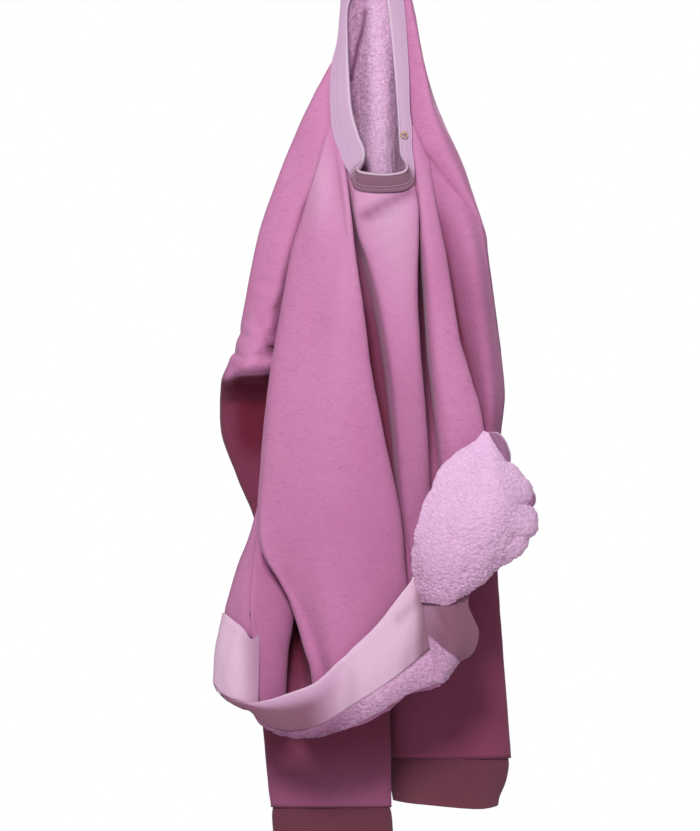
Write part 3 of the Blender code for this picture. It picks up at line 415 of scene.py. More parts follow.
# Painted shade of the front panel's cloth down each fold line, deepest in the recesses between
# folds: (z in mm, share), from below.
PAINTED_SHADES = {
    "side_fold": [(-807, 0.22), (-697, 0.22), (-631, 0.05)],
    "side_fold_edge": [(-807, 0.25), (-697, 0.28), (-631, 0)],
    "side_back": [(-807, 0.5), (-697, 0.7), (-653, 0.1)],
    "left_gap": [(-796, 0.4), (-741, 0.66), (-681, 0.72), (-642, 0.05)],
    "left_tuck": [(-807, 0.4), (-697, 0.7), (-653, 0.1)],
    "neck_corner": [(-697, 0.12), (-565, 0.05), (-367, 0)],
    "broad_fold_edge": [(-697, 0.18), (-565, 0.12), (-400, 0)],
    "fold_back": [(-653, 0.45), (-565, 0.5), (-290, 0.4), (-246, 0.15)],
    "left_wall": [(-697, 0.25), (-631, 0.55), (-565, 0.68), (-400, 0.66), (-290, 0.42),
        (-246, 0.12)],
    "middle_wall": [(-697, 0.2), (-631, 0.5), (-565, 0.66), (-400, 0.62), (-290, 0.38),
        (-246, 0.05)],
    "centre_fold_left": [(-697, 0.2), (-631, 0.3), (-565, 0.25), (-477, 0.15), (-400, 0.05),
        (-290, 0)],
    "centre_crest_left": [(-697, 0.2), (-565, 0.28), (-477, 0.24), (-400, 0.03), (-290, 0)],
    "centre_crest_right": [(-697, 0.2), (-565, 0.32), (-477, 0.28), (-400, 0.05), (-290, 0)],
    "centre_fold_right": [(-697, 0.2), (-565, 0.3), (-477, 0.22), (-400, 0.12), (-290, 0)],
    "centre_back": [(-697, 0.2), (-565, 0.35), (-477, 0.45), (-400, 0.55), (-301, 0.4),
        (-257, 0.05)],
    "right_wall": [(-697, 0.2), (-565, 0.42), (-477, 0.5), (-400, 0.68), (-301, 0.6), (-257, 0.05)],
    "right_valley": [(-697, 0.2), (-565, 0.42), (-477, 0.5), (-400, 0.68), (-301, 0.6),
        (-257, 0.05)],
    "narrow_fold_left": [(-565, 0.05), (-367, 0)],
    "narrow_back": [(-675, 0.9), (-631, 0.35), (-477, 0.35), (-279, 0.3), (-235, 0.1)],
    "side_valley": [(-670, 0.95), (-631, 0.3), (-499, 0.55), (-400, 0.64), (-290, 0.5),
        (-235, 0.12)],
    "side_bulge": [(-664, 0.95), (-631, 0.2), (-565, 0.1), (-504, 0.55), (-477, 0.38), (-367, 0.44),
        (-301, 0.04), (-257, 0.05)],
    "right_side": [(-659, 0.95), (-631, 0.3), (-505, 0.45), (-477, 0.2), (-367, 0.16), (-290, 0)]}

# Creases: a path of (x, z) in mm, its half width and its depth in mm.
FRONT_CREASES = [
    ([(-95, -552), (-70, -560), (-40, -556), (-10, -566)], 5, 0.9),
    ([(46, -262), (30, -275), (8, -285)], 4, 1.6),
    ([(44, -275), (22, -292), (2, -306)], 4.5, 1.4),
    ([(40, -300), (20, -312), (10, -330)], 5, 0.9),
    ([(-70, -380), (-50, -395), (-30, -412)], 5, 0.8)]
LEFT_CREASES = [
    ([(-150, -424), (-136, -432), (-122, -428), (-108, -436)], 3.5, 1.8),
    ([(-146, -398), (-132, -410), (-116, -414)], 4.5, 1.4),
    ([(-105, -420), (-118, -398), (-108, -380), (-96, -372)], 5, 2.4),
    ([(-98, -345), (-112, -352), (-120, -345)], 5, 1.6)]
RIGHT_CREASES = [
    ([(64, -212), (80, -236), (100, -262)], 4, 1.2),
    ([(70, -182), (86, -196), (96, -214)], 4, 1.0)]
HEM_CREASES = [
    ([(-22, -742), (-20, -764), (-28, -780)], 6, 1.4),
    ([(40, -700), (50, -720), (46, -742)], 5, 1.2)]
HEM_SIDE_CREASES = [
    ([(70, -700), (84, -722), (96, -740)], 4, 1.2),
    ([(46, -760), (60, -772), (70, -786)], 4, 1.8)]
HEM_BACK_CREASES = [
    ([(-154, -716), (-138, -728), (-127, -740)], 2.5, 1.2)]



# ---------------------------------------------------------------- curves and grids

def through(points, steps, closed=False):
    """Catmull-Rom through the points (first axis), with `steps` pieces in each span."""
    points = np.asarray(points, float)
    count = len(points)
    spans = count if closed else count - 1
    counts = [steps] * spans if np.isscalar(steps) else steps
    if closed:
        padded = np.concatenate([points[-1:], points, points[:2]])
    else:
        padded = np.concatenate([2 * points[:1] - points[1:2], points,
                                 2 * points[-1:] - points[-2:-1]])
    out = []
    for span in range(spans):
        a, b, c, d = padded[span:span + 4]
        for step in range(counts[span]):
            t = step / counts[span]
            out.append(0.5 * (2 * b + (c - a) * t + (2 * a - 5 * b + 4 * c - d) * t * t
                              + (3 * b - a - 3 * c + d) * t ** 3))
    if not closed:
        out.append(points[-1])
    return np.array(out)


def run_of(line):
    """Distance run along a line of points, from 0 at its start."""
    return np.concatenate([[0], np.cumsum(np.linalg.norm(np.diff(line, axis=0), axis=1))])


def spaced(line, shares):
    """The smooth line through a fold's points in mm, at these shares of its length, in metres."""
    fine = through(np.array(line, float) * MM, LINE_STEPS)
    run = run_of(fine)
    return np.stack([np.interp(shares * run[-1], run, fine[:, k]) for k in range(3)], axis=1)


def loft(lines, shares, steps, closed=False):
    """Grid [row][column] through the fold lines; shares are the rows' places, or how many."""
    shares = np.linspace(0, 1, shares) if np.isscalar(shares) else shares
    ribs = np.array([spaced(line, shares) for line in lines])
    return through(ribs, steps, closed).transpose(1, 0, 2)


def normals(grid, closed=False):
    """Unit outward direction at each point of a grid."""
    down = np.gradient(grid, axis=0)
    if closed:
        right = (np.roll(grid, -1, axis=1) - np.roll(grid, 1, axis=1)) / 2
    else:
        right = np.gradient(grid, axis=1)
    way = np.cross(down, right)
    return way / np.maximum(np.linalg.norm(way, axis=2), 1e-9)[..., None]


def smoothed(field, times, closed=False):
    """A grid of vectors averaged with its neighbours a few times."""
    for _ in range(times):
        up = np.concatenate([field[:1], field[:-1]])
        low = np.concatenate([field[1:], field[-1:]])
        if closed:
            left, right = np.roll(field, 1, axis=1), np.roll(field, -1, axis=1)
        else:
            left = np.concatenate([field[:, :1], field[:, :-1]], axis=1)
            right = np.concatenate([field[:, 1:], field[:, -1:]], axis=1)
        field = (field * 2 + up + low + left + right) / 6
    return field


# ---------------------------------------------------------------- noise

def hashed(cell, seed):
    """A steady value from -1 to 1 for each whole-number cell."""
    mixed = (cell[..., 0] * 374761393 + cell[..., 1] * 668265263 + cell[..., 2] * 1274126177
             + seed * 1013904223) & 0xFFFFFFFF
    mixed = ((mixed ^ (mixed >> 13)) * 1274126177) & 0xFFFFFFFF
    return (mixed ^ (mixed >> 16)) / 0x7FFFFFFF - 1


def noise(points, seed=0):
    """Smooth value noise from -1 to 1 at points whose cells are one unit wide."""
    cell = np.floor(points).astype(np.int64)
    part = points - cell
    part = part * part * part * (part * (part * 6 - 15) + 10)
    total = 0
    for corner in np.ndindex(2, 2, 2):
        weight = np.prod(np.where(corner, part, 1 - part), axis=-1)
        total = total + weight * hashed(cell + corner, seed)
    return total


def rough(points, octaves, seed=0):
    """Several octaves of noise, each half as large and twice as fine."""
    return sum(noise(points * 2 ** k + 17.3 * k, seed + k) / 2 ** k for k in range(octaves))


def bell(*terms):
    """1 where every value is at its centre, falling off over its width: (value, centre, width)."""
    return np.exp(-sum(((value - centre) / width) ** 2 for value, centre, width in terms))


def band(values, low, high):
    """0 below low, 1 above high, smooth between."""
    t = np.clip((values - low) / (high - low), 0, 1)
    return t * t * (3 - 2 * t)


def nearest(grid, path):
    """Each point's distance from a path of (x, z) in metres, and its share along that path."""
    place = grid[..., [0, 2]]
    best = np.full(grid.shape[:2], np.inf)
    along = np.zeros(grid.shape[:2])
    run = run_of(path)
    for k in range(len(path) - 1):
        a, step = path[k], path[k + 1] - path[k]
        t = np.clip(((place - a) @ step) / (step @ step), 0, 1)
        far = np.linalg.norm(place - a - t[..., None] * step, axis=2)
        near = far < best
        best = np.where(near, far, best)
        along = np.where(near, (run[k] + t * (run[k + 1] - run[k])) / run[-1], along)
    return best, along


def creased(grid, creases, way):
    """The grid pressed in along each crease, with a low swelling on both of its sides."""
    for path, width, depth in creases:
        far, along = nearest(grid, np.array(path, float) * MM)
        width, depth = width * MM, depth * MM
        taper = np.clip(np.sin(np.pi * np.clip(along, 0, 1)), 0, 1) ** 0.6
        dent = 0.45 * bell((far, 2.1 * width, width)) - bell((far, 0, width))
        grid = grid + way * (depth * taper * dent)[..., None]
    return grid


def shaded_along(grid, path, width):
    """Painted shade along a path of (x, z) in mm: 1 on it, fading out over width mm."""
    return bell((nearest(grid, np.array(path, float) * MM)[0], 0, width * MM))


# ---------------------------------------------------------------- meshes

def spread(grid, closed=False):
    """Running width of the columns and length of the rows, in metres, for the cloth's own map."""
    across = np.linalg.norm(np.diff(grid, axis=1), axis=2).mean(axis=0)
    if closed:
        across = np.append(across, np.linalg.norm(grid[:, 0] - grid[:, -1], axis=1).mean())
    down = np.linalg.norm(np.diff(grid, axis=0), axis=2).mean(axis=1)
    return np.append(0, np.cumsum(across)), np.append(0, np.cumsum(down))


def placed(name, mesh, *skins):
    """A new object of this mesh, with smooth shading and these materials, in the scene."""
    for skin in skins:
        mesh.materials.append(skin)
    mesh.shade_smooth()
    made = bpy.data.objects.new(name, mesh)
    bpy.context.scene.collection.objects.link(made)
    return made


def tinted(mesh, label, values):
    """Keeps a value for each point on the mesh, where its materials read it by name."""
    layer = mesh.attributes.new(label, "FLOAT", "POINT")
    layer.data.foreach_set("value", values.astype(np.float32))


def shell(name, grid, thickness, skins, closed=False, leave=None, inner=None, tints=None,
          pick=None):
    """One closed cloth: outer side, inner side and the cut edge between them.

    skins are the materials of the outer and the inner side, and any further one that pick uses.
    leave says which faces are left open, from their rows and columns. inner is how far each
    inner point stands in. tints are the values for each grid point, by name. pick gives the
    material number of an outer face from its row and column.
    """
    rows, columns = grid.shape[:2]
    way = smoothed(normals(grid, closed), 2, closed)
    way = way / np.linalg.norm(way, axis=2)[..., None]
    thickness = np.broadcast_to(np.asarray(thickness, float), (rows, columns))
    outside = grid + way * thickness[..., None]
    inside = grid if inner is None else grid - way * inner[..., None]
    points = np.concatenate([outside.reshape(-1, 3), inside.reshape(-1, 3)])
    size = rows * columns
    span = columns if closed else columns - 1
    r, c = np.meshgrid(np.arange(rows - 1), np.arange(span), indexing="ij")
    r, c = r.ravel(), c.ravel()
    if leave is not None:
        keep = ~leave(r, c)
        r, c = r[keep], c[keep]
    nxt = (c + 1) % columns
    front = np.stack([r * columns + c, (r + 1) * columns + c,
                      (r + 1) * columns + nxt, r * columns + nxt], 1)
    spots = np.stack([np.stack([c, r], 1), np.stack([c, r + 1], 1),
                      np.stack([c + 1, r + 1], 1), np.stack([c + 1, r], 1)], 1)
    edges = {}
    for face, spot in zip(front.tolist(), spots.tolist()):
        for k in range(4):
            edges[(face[k], face[(k + 1) % 4])] = (spot[k], spot[(k + 1) % 4])
    rim, rim_spots = [], []
    for (a, b), (spot_a, spot_b) in edges.items():
        if (b, a) not in edges:
            rim.append((b, a, a + size, b + size))
            rim_spots.append((spot_b, spot_a, spot_a, spot_b))
    faces = np.concatenate([front, front[:, ::-1] + size, np.array(rim, int).reshape(-1, 4)])
    places = np.concatenate([spots, spots[:, ::-1], np.array(rim_spots, int).reshape(-1, 4, 2)])
    used, flat = np.unique(faces, return_inverse=True)
    faces = flat.reshape(-1, 4)
    mesh = bpy.data.meshes.new(name)
    mesh.from_pydata(points[used].tolist(), [], faces.tolist())
    for skin in skins:
        mesh.materials.append(skin)
    which = np.zeros(len(faces), np.int32)
    which[len(front):2 * len(front)] = 1
    if pick is not None:
        which[:len(front)] = pick(r, c)
    mesh.polygons.foreach_set("material_index", which)
    wide, long = spread(grid, closed)
    layer = mesh.uv_layers.new(name="Cloth")
    layer.data.foreach_set("uv", np.stack([wide[places[..., 0]], -long[places[..., 1]]], -1).ravel())
    for label, values in (tints or {}).items():
        tinted(mesh, label, np.concatenate([values.ravel(), values.ravel()])[used])
    return placed(name, mesh)


def swept(name, rings, skin):
    """A closed loop of tube through rings [place along][place round], with its map in metres."""
    count, sides = rings.shape[:2]
    k, s = np.meshgrid(np.arange(count), np.arange(sides), indexing="ij")
    k, s = k.ravel(), s.ravel()
    up, on = (k + 1) % count, (s + 1) % sides
    faces = np.stack([k * sides + s, k * sides + on, up * sides + on, up * sides + s], 1)
    middle = rings.mean(axis=1)
    along = np.append(0, np.cumsum(np.linalg.norm(np.roll(middle, -1, 0) - middle, axis=1)))
    widths = np.linalg.norm(np.roll(rings, -1, 1) - rings, axis=2).mean(0)
    round_it = np.append(0, np.cumsum(widths))
    maps = np.stack([np.stack([along[i], round_it[j]], 1)
                     for i, j in ((k, s), (k, s + 1), (k + 1, s + 1), (k + 1, s))], 1)
    mesh = bpy.data.meshes.new(name)
    mesh.from_pydata(rings.reshape(-1, 3).tolist(), [], faces.tolist())
    mesh.uv_layers.new(name="Cloth").data.foreach_set("uv", maps.ravel())
    return placed(name, mesh, skin)


def stitches(name, path, out, skin, length):
    """A row of sewn stitches along a path, each a short rounded thread lying on the cloth."""
    run = run_of(path)
    count = max(2, int(run[-1] / ((length + STITCH_GAP) * MM)))
    points, faces = [], []
    sides, radius = STITCH_SIDES, STITCH_RADIUS
    ring = [(math.cos(a), math.sin(a)) for a in np.linspace(0, 2 * math.pi, sides, endpoint=False)]

    def at(place, values):
        place = min(max(place, 0), run[-1])
        return np.array([np.interp(place, run, values[:, axis]) for axis in range(3)])

    for k in range(count):
        middle = (k + 0.5) / count * run[-1]
        start = len(points)
        for share, fat, lift in STITCH:
            here = min(max(middle + share * length * MM, 0), run[-1])
            up = at(here, out)
            side = np.cross(at(here + 0.0005, path) - at(here - 0.0005, path), up)
            side = side / max(np.linalg.norm(side), 1e-9)
            up = up / max(np.linalg.norm(up), 1e-9)
            centre = at(here, path) + up * (radius * (lift + 1) - STITCH_SINK) * MM
            points += [tuple(centre + (side * x + up * y) * radius * fat * MM) for x, y in ring]
        for j in range(len(STITCH) - 1):
            for s in range(sides):
                a, b = start + j * sides + s, start + j * sides + (s + 1) % sides
                faces.append((a, b, b + sides, a + sides))
        faces.append(tuple(start + sides - 1 - s for s in range(sides)))
        faces.append(tuple(len(points) - sides + s for s in range(sides)))
    mesh = bpy.data.meshes.new(name)
    mesh.from_pydata(points, [], faces)
    return placed(name, mesh, skin)


# ---------------------------------------------------------------- materials

class Finish:
    """A node material, built one node at a time."""

    def __init__(self, name):
        self.material = bpy.data.materials.new(name)
        self.material.use_nodes = True
        self.tree = self.material.node_tree
        self.shader = self.tree.nodes["Principled BSDF"]

    def node(self, kind, inputs=None, **settings):
        made = self.tree.nodes.new(kind)
        for key, value in settings.items():
            setattr(made, key, value)
        for key, value in (inputs or {}).items():
            if isinstance(value, bpy.types.NodeSocket):
                self.tree.links.new(value, made.inputs[key])
            else:
                made.inputs[key].default_value = value
        return made

    def cloth_map(self, scale):
        """The cloth's own map, in metres, stretched by scale."""
        source = self.node("ShaderNodeUVMap", uv_map="Cloth").outputs["UV"]
        return self.node("ShaderNodeMapping", {"Vector": source, "Scale": scale}).outputs["Vector"]

    def place_map(self, scale):
        """The place on the object, in metres, stretched by scale."""
        source = self.node("ShaderNodeTexCoord").outputs["Object"]
        return self.node("ShaderNodeMapping", {"Vector": source, "Scale": scale}).outputs["Vector"]

    def noise(self, vector, scale=1.0, detail=3.0, roughness=0.55, distortion=0.0):
        return self.node("ShaderNodeTexNoise", {"Vector": vector, "Scale": scale, "Detail": detail,
                         "Roughness": roughness, "Distortion": distortion}).outputs["Fac"]

    def ramp(self, value, stops):
        """The value through stops of (place, grey or colour)."""
        made = self.node("ShaderNodeValToRGB", {"Fac": value})
        ramp = made.color_ramp
        while len(ramp.elements) < len(stops):
            ramp.elements.new(0.5)
        for element, (place, colour) in zip(ramp.elements, stops):
            element.position = place
            element.color = (*colour, 1.0) if hasattr(colour, "__len__") else (colour,) * 3 + (1.0,)
        return made.outputs["Color"]

    def mixed(self, factor, a, b):
        made = self.node("ShaderNodeMix", data_type="RGBA")
        for key, value in (("Factor", factor), ("A", a), ("B", b)):
            kind = "VALUE" if key == "Factor" else "RGBA"
            socket = [s for s in made.inputs if s.name == key and s.type == kind][0]
            if isinstance(value, bpy.types.NodeSocket):
                self.tree.links.new(value, socket)
            else:
                socket.default_value = value if key == "Factor" else (*value, 1.0)
        return [s for s in made.outputs if s.type == "RGBA"][0]

    def maths(self, operation, a, b):
        made = self.node("ShaderNodeMath", operation=operation)
        for k, value in enumerate((a, b)):
            if isinstance(value, bpy.types.NodeSocket):
                self.tree.links.new(value, made.inputs[k])
            else:
                made.inputs[k].default_value = value
        return made.outputs[0]

    def tint(self, label):
        return self.node("ShaderNodeAttribute", attribute_name=label).outputs["Fac"]

    def colour(self, socket):
        self.tree.links.new(socket, self.shader.inputs["Base Color"])

    def bump(self, heights):
        """Layers of (height, distance in metres, strength), the coarse one first."""
        normal = None
        for height, distance, strength in heights:
            inputs = {"Height": height, "Distance": distance, "Strength": strength}
            if normal is not None:
                inputs["Normal"] = normal
            normal = self.node("ShaderNodeBump", inputs).outputs["Normal"]
        self.tree.links.new(normal, self.shader.inputs["Normal"])

    def soft(self, roughness, sheen, sheen_roughness, tint):
        """Cloth's matt surface with its sheen, the same all over."""
        self.shader.inputs["Roughness"].default_value = roughness
        self.shader.inputs["Specular IOR Level"].default_value = 0.15
        self.shader.inputs["Sheen Weight"].default_value = sheen
        self.shader.inputs["Sheen Roughness"].default_value = sheen_roughness
        self.shader.inputs["Sheen Tint"].default_value = (*tint, 1.0)


def scaled(colour, *shares):
    """A colour with each of its parts multiplied by its own share."""
    return tuple(part * share for part, share in zip(colour, shares))


def velour(name, base, pale, deep):
    """Brushed velour: short nap in horizontal streaks, pale where it fades and where a highlight is
    painted, deep where shade is painted.
    """
    made = Finish(name)
    nap = made.noise(made.place_map((150, 150, 460)), 1.0, 5.0, 0.60, 1.4)
    fibres = made.noise(made.place_map((520, 520, 1500)), 1.0, 2.0, 0.6, 0.6)
    drift = made.noise(made.place_map((9, 9, 6)), 1.0, 3.0, 0.5)
    tone = made.mixed(made.ramp(drift, [(0.35, 0.0), (0.70, 1.0)]), base,
                      scaled(base, 1.10, 1.22, 1.14))
    tone = made.mixed(made.ramp(nap, [(0.30, 0.0), (0.50, 1.0)]),
                      scaled(base, 0.90, 0.82, 0.89), tone)
    tone = made.mixed(made.ramp(nap, [(0.54, 0.0), (0.76, 0.5)]), tone,
                      scaled(base, 1.10, 1.22, 1.12))
    tips = made.maths("MULTIPLY", made.ramp(fibres, [(0.3, 0.0), (0.7, 1.0)]), 0.16)
    tone = made.mixed(tips, tone, scaled(base, 1.12, 1.25, 1.16))
    # Paler where the cloth fades and where highlights are painted. Then the painted shade:
    # purple-dark where it is light, red-dark where it is deepest.
    tone = made.mixed(made.tint("fade_and_highlight"), tone, pale)
    painted_shade = made.tint("painted_shade")
    hollow = scaled(deep, 1.5, 3.2, 3.4)
    tone = made.mixed(painted_shade, tone, made.ramp(painted_shade, [(0.45, hollow), (0.85, deep)]))
    made.colour(tone)
    made.soft(0.92, 0.22, 0.45, (0.95, 0.72, 0.90))
    made.bump([(nap, 0.0010, 0.4), (fibres, 0.0004, 0.5)])
    return made.material


def fleece(name, base, hollow):
    """Loop-backed fleece: small curls, with painted shade between them and painted highlights on
    their tops.
    """
    made = Finish(name)
    curls = made.noise(made.place_map((360, 360, 640)), 1.0, 4.0, 0.62, 1.3)
    threads = made.noise(made.place_map((900, 900, 1500)), 1.0, 2.0, 0.6, 0.8)
    drift = made.noise(made.place_map((14, 14, 14)), 1.0, 2.0, 0.5)
    tone = made.mixed(made.ramp(curls, [(0.36, 0.0), (0.56, 1.0)]), hollow, base)
    tone = made.mixed(made.ramp(curls, [(0.56, 0.0), (0.76, 0.8)]), tone,
                      scaled(base, 1.18, 1.3, 1.18))
    dull = made.maths("MULTIPLY", made.ramp(drift, [(0.35, 0.0), (0.7, 1.0)]), 0.25)
    tone = made.mixed(dull, tone, scaled(base, 0.92, 0.80, 0.90))
    # Paler where faded and where highlights are painted, dark in painted shade.
    tone = made.mixed(made.maths("MULTIPLY", made.tint("fade_and_highlight"), 0.8), tone,
                      scaled(base, 1.20, 1.30, 1.30))
    tone = made.mixed(made.tint("painted_shade"), tone, scaled(hollow, 0.55, 0.42, 0.5))
    made.colour(tone)
    made.soft(0.95, 0.25, 0.5, (1.0, 0.85, 0.98))
    made.bump([(curls, 0.0020, 0.8), (threads, 0.0004, 0.5)])
    return made.material


def rib(name, base, pitch):
    """Fine rib knit: wales a pitch apart along the cloth's map, slightly uneven and fuzzy."""
    made = Finish(name)
    source = made.node("ShaderNodeUVMap", uv_map="Cloth").outputs["UV"]
    run = made.node("ShaderNodeSeparateXYZ", {"Vector": source}).outputs["X"]
    wobble = made.noise(made.cloth_map((60, 60, 1)), 1.0, 2.0)
    phase = made.maths("ADD", made.maths("MULTIPLY", run, 2 * math.pi / pitch),
                       made.maths("MULTIPLY", wobble, 3.0))
    wale = made.maths("MULTIPLY", made.maths("ADD", made.maths("SINE", phase, 0.0), 1.0), 0.5)
    fuzz = made.noise(made.cloth_map((700, 700, 1)), 1.0, 3.0, 0.65)
    drift = made.noise(made.place_map((16, 16, 16)), 1.0, 3.0, 0.5)
    tone = made.mixed(made.maths("MULTIPLY", wale, 0.30), scaled(base, 0.88, 0.82, 0.88), base)
    tone = made.mixed(made.maths("MULTIPLY", fuzz, 0.5), tone, scaled(base, 1.12, 1.18, 1.12))
    tone = made.mixed(made.ramp(drift, [(0.4, 0.0), (0.75, 0.4)]), tone,
                      scaled(base, 0.88, 0.78, 0.86))
    # Paler where faded and where highlights are painted; brownish dark in painted shade.
    tone = made.mixed(made.tint("fade_and_highlight"), tone, scaled(base, 1.25, 1.4, 1.25))
    tone = made.mixed(made.tint("painted_shade"), tone, scaled(base, 0.39, 0.27, 0.29))
    made.colour(tone)
    made.soft(0.9, 0.18, 0.5, (1.0, 0.85, 1.0))
    made.bump([(wale, 0.0005, 0.45), (fuzz, 0.0004, 0.5)])
    return made.material


def thread(name, base):
    """Spun sewing thread: a fine twist along each stitch."""
    made = Finish(name)
    twist = made.noise(made.place_map((2600, 2600, 1400)), 1.0, 2.0, 0.5)
    made.colour(made.mixed(twist, scaled(base, 0.7, 0.62, 0.7), scaled(base, 1.15, 1.2, 1.15)))
    made.soft(0.7, 0.15, 0.4, (1, 0.9, 1))
    made.bump([(twist, 0.0003, 0.5)])
    return made.material


def plastic(name, base):
    """Moulded tag plastic, slightly cloudy."""
    made = Finish(name)
    cloud = made.noise(made.place_map((900, 900, 900)), 1.0, 3.0)
    made.colour(made.mixed(cloud, scaled(base, 0.8, 0.75, 0.6), base))
    made.shader.inputs["Roughness"].default_value = 0.35
    made.shader.inputs["Subsurface Weight"].default_value = 0.1
    made.bump([(cloud, 0.0001, 0.3)])
    return made.material


# The velour's last colour and the fleece's second are the dark tones of their painted shade.
VELOUR = velour("velour", (0.560, 0.205, 0.400), (0.680, 0.390, 0.590), (0.150, 0.016, 0.041))
FLEECE = fleece("fleece", (0.860, 0.530, 0.780), (0.430, 0.180, 0.350))
NECK_RIB = rib("neck_rib", (0.620, 0.430, 0.600), 0.0011)
HEM_RIB = rib("hem_rib", (0.640, 0.390, 0.570), 0.0013)
# The cuffs hang in shadow behind the hem; their rib is given a dark colour as painted shade.
SHADED_CUFF_RIB = rib("shaded_cuff_rib", (0.150, 0.040, 0.064), 0.0017)
THREAD = thread("thread", (0.640, 0.420, 0.600))
SEAM_THREAD = thread("seam_thread", (0.520, 0.230, 0.400))
# The cuff seam's thread is darkened as painted shade too.
SHADED_CUFF_THREAD = thread("shaded_cuff_thread", (0.130, 0.034, 0.056))
PLASTIC = plastic("tag_plastic", (0.630, 0.430, 0.200))


# ---------------------------------------------------------------- body panels

def wrinkled(grid, seed, drape=1.0, fine=0.25, closed=False):
    """Soft hanging undulations and small dents, as worn cloth has."""
    way = smoothed(normals(grid, closed), 3, closed)
    tall = rough(grid * (22, 22, 7), 2, seed) * drape * MM
    small = rough(grid * (110, 110, 60), 2, seed + 5) * fine * MM
    return grid + way * (tall + small)[..., None]


def pile(grid, seed, height, cells=(230, 230, 620)):
    """Height of the fleece's curls at each point: ridged, warped noise, always 0 or more."""
    warp = np.stack([noise(grid * 140 + 9, seed + 1), noise(grid * 140 + 31, seed + 2),
                     noise(grid * 140 + 57, seed + 3)], -1)
    ridge = 1 - np.abs(noise(grid * cells + warp * 0.6, seed))
    clumps = 0.5 + 0.5 * noise(grid * 75, seed + 7)
    return (ridge ** 2 * 0.75 + clumps * 0.5) * height * MM


def hollows(grid, reach, depth, closed=False):
    """How far each point lies in a valley of its cloth: 0 on crests, 1 at `depth` metres down."""
    way = smoothed(normals(grid, closed), 3, closed)
    average = smoothed(grid, reach, closed)
    return np.clip(((average - grid) * way).sum(axis=2) / depth, 0, 1)


def toned(grid, names, fold_shade, steps):
    """Painted shade at each point, between the values that each fold line has down the cloth."""
    lines = np.zeros((len(grid), len(names)))
    for k, name in enumerate(names):
        if name in fold_shade:
            levels, values = zip(*fold_shade[name])
            lines[:, k] = np.interp(grid[:, k * steps, 2] / MM, levels, values)
    place = np.arange(grid.shape[1]) / steps
    low = np.clip(place.astype(int), 0, len(names) - 2)
    part = place - low
    return lines[:, low] * (1 - part) + lines[:, low + 1] * part


def front_panel():
    """The front with its hanging folds, paler under the neck, with painted highlights on its crests
    and painted shade in its recesses.
    """
    steps = 6
    grid = loft(list(FRONT.values()), 220, steps)
    fold_shade = toned(grid, list(FRONT), PAINTED_SHADES, steps)
    grid = wrinkled(grid, 11, 1.0, 0.22)
    way = smoothed(normals(grid), 3)
    grid = creased(grid, FRONT_CREASES, way)
    x, z = grid[..., 0], grid[..., 2]
    # Paler under the neck and in a patch by the left raglan seam, with painted highlights: a shine
    # along the broad fold's edge and a lighter crest on the centre fold.
    near_neck = bell((x, 0.012, 0.045), (z, -0.265, 0.05))
    left_pale_patch = bell((x, -0.052, 0.016), (z, -0.235, 0.045))
    fade_and_highlight = 0.45 * near_neck + 0.55 * left_pale_patch
    shine = 0.55 * bell((x, -0.030, 0.018)) * band(-z, 0.27, 0.34) * (1 - band(-z, 0.42, 0.52))
    middle = 0.030 - (z + 0.30) * 0.11      # the centre fold's crest, which leans to the right
    column = bell((x, middle, 0.026)) * (0.15 + 0.25 * band(z, -0.42, -0.30))
    # Painted shade: in the cloth's hollows, in the recesses between the folds, more towards the
    # bottom, and a shadow under the neck band.
    painted_shade = 0.25 * hollows(grid, 40, 0.005) + fold_shade + 0.14 * band(-z, 0.40, 0.72)
    painted_shade = painted_shade + 0.60 * shaded_along(grid, [(44, -250), (20, -262), (-2, -275)], 7)
    rows = np.arange(len(grid))[:, None]
    grid[-1] += (0, 0.001, -0.005)          # the bottom edge reaches down behind the hem
    thick = FABRIC * (1 - 0.55 * bell((rows, 0, 2.0)))
    fade_and_highlight = fade_and_highlight + (column + 0.3 * shine) * (1 - fold_shade)
    made = shell("front_panel_cloth", grid, thick, (VELOUR, FLEECE),
                 tints={"fade_and_highlight": np.clip(fade_and_highlight, 0, 1), "painted_shade": np.clip(painted_shade, 0, 1)})
    dress(made, "torso", "velour", "front_panel")
    return grid


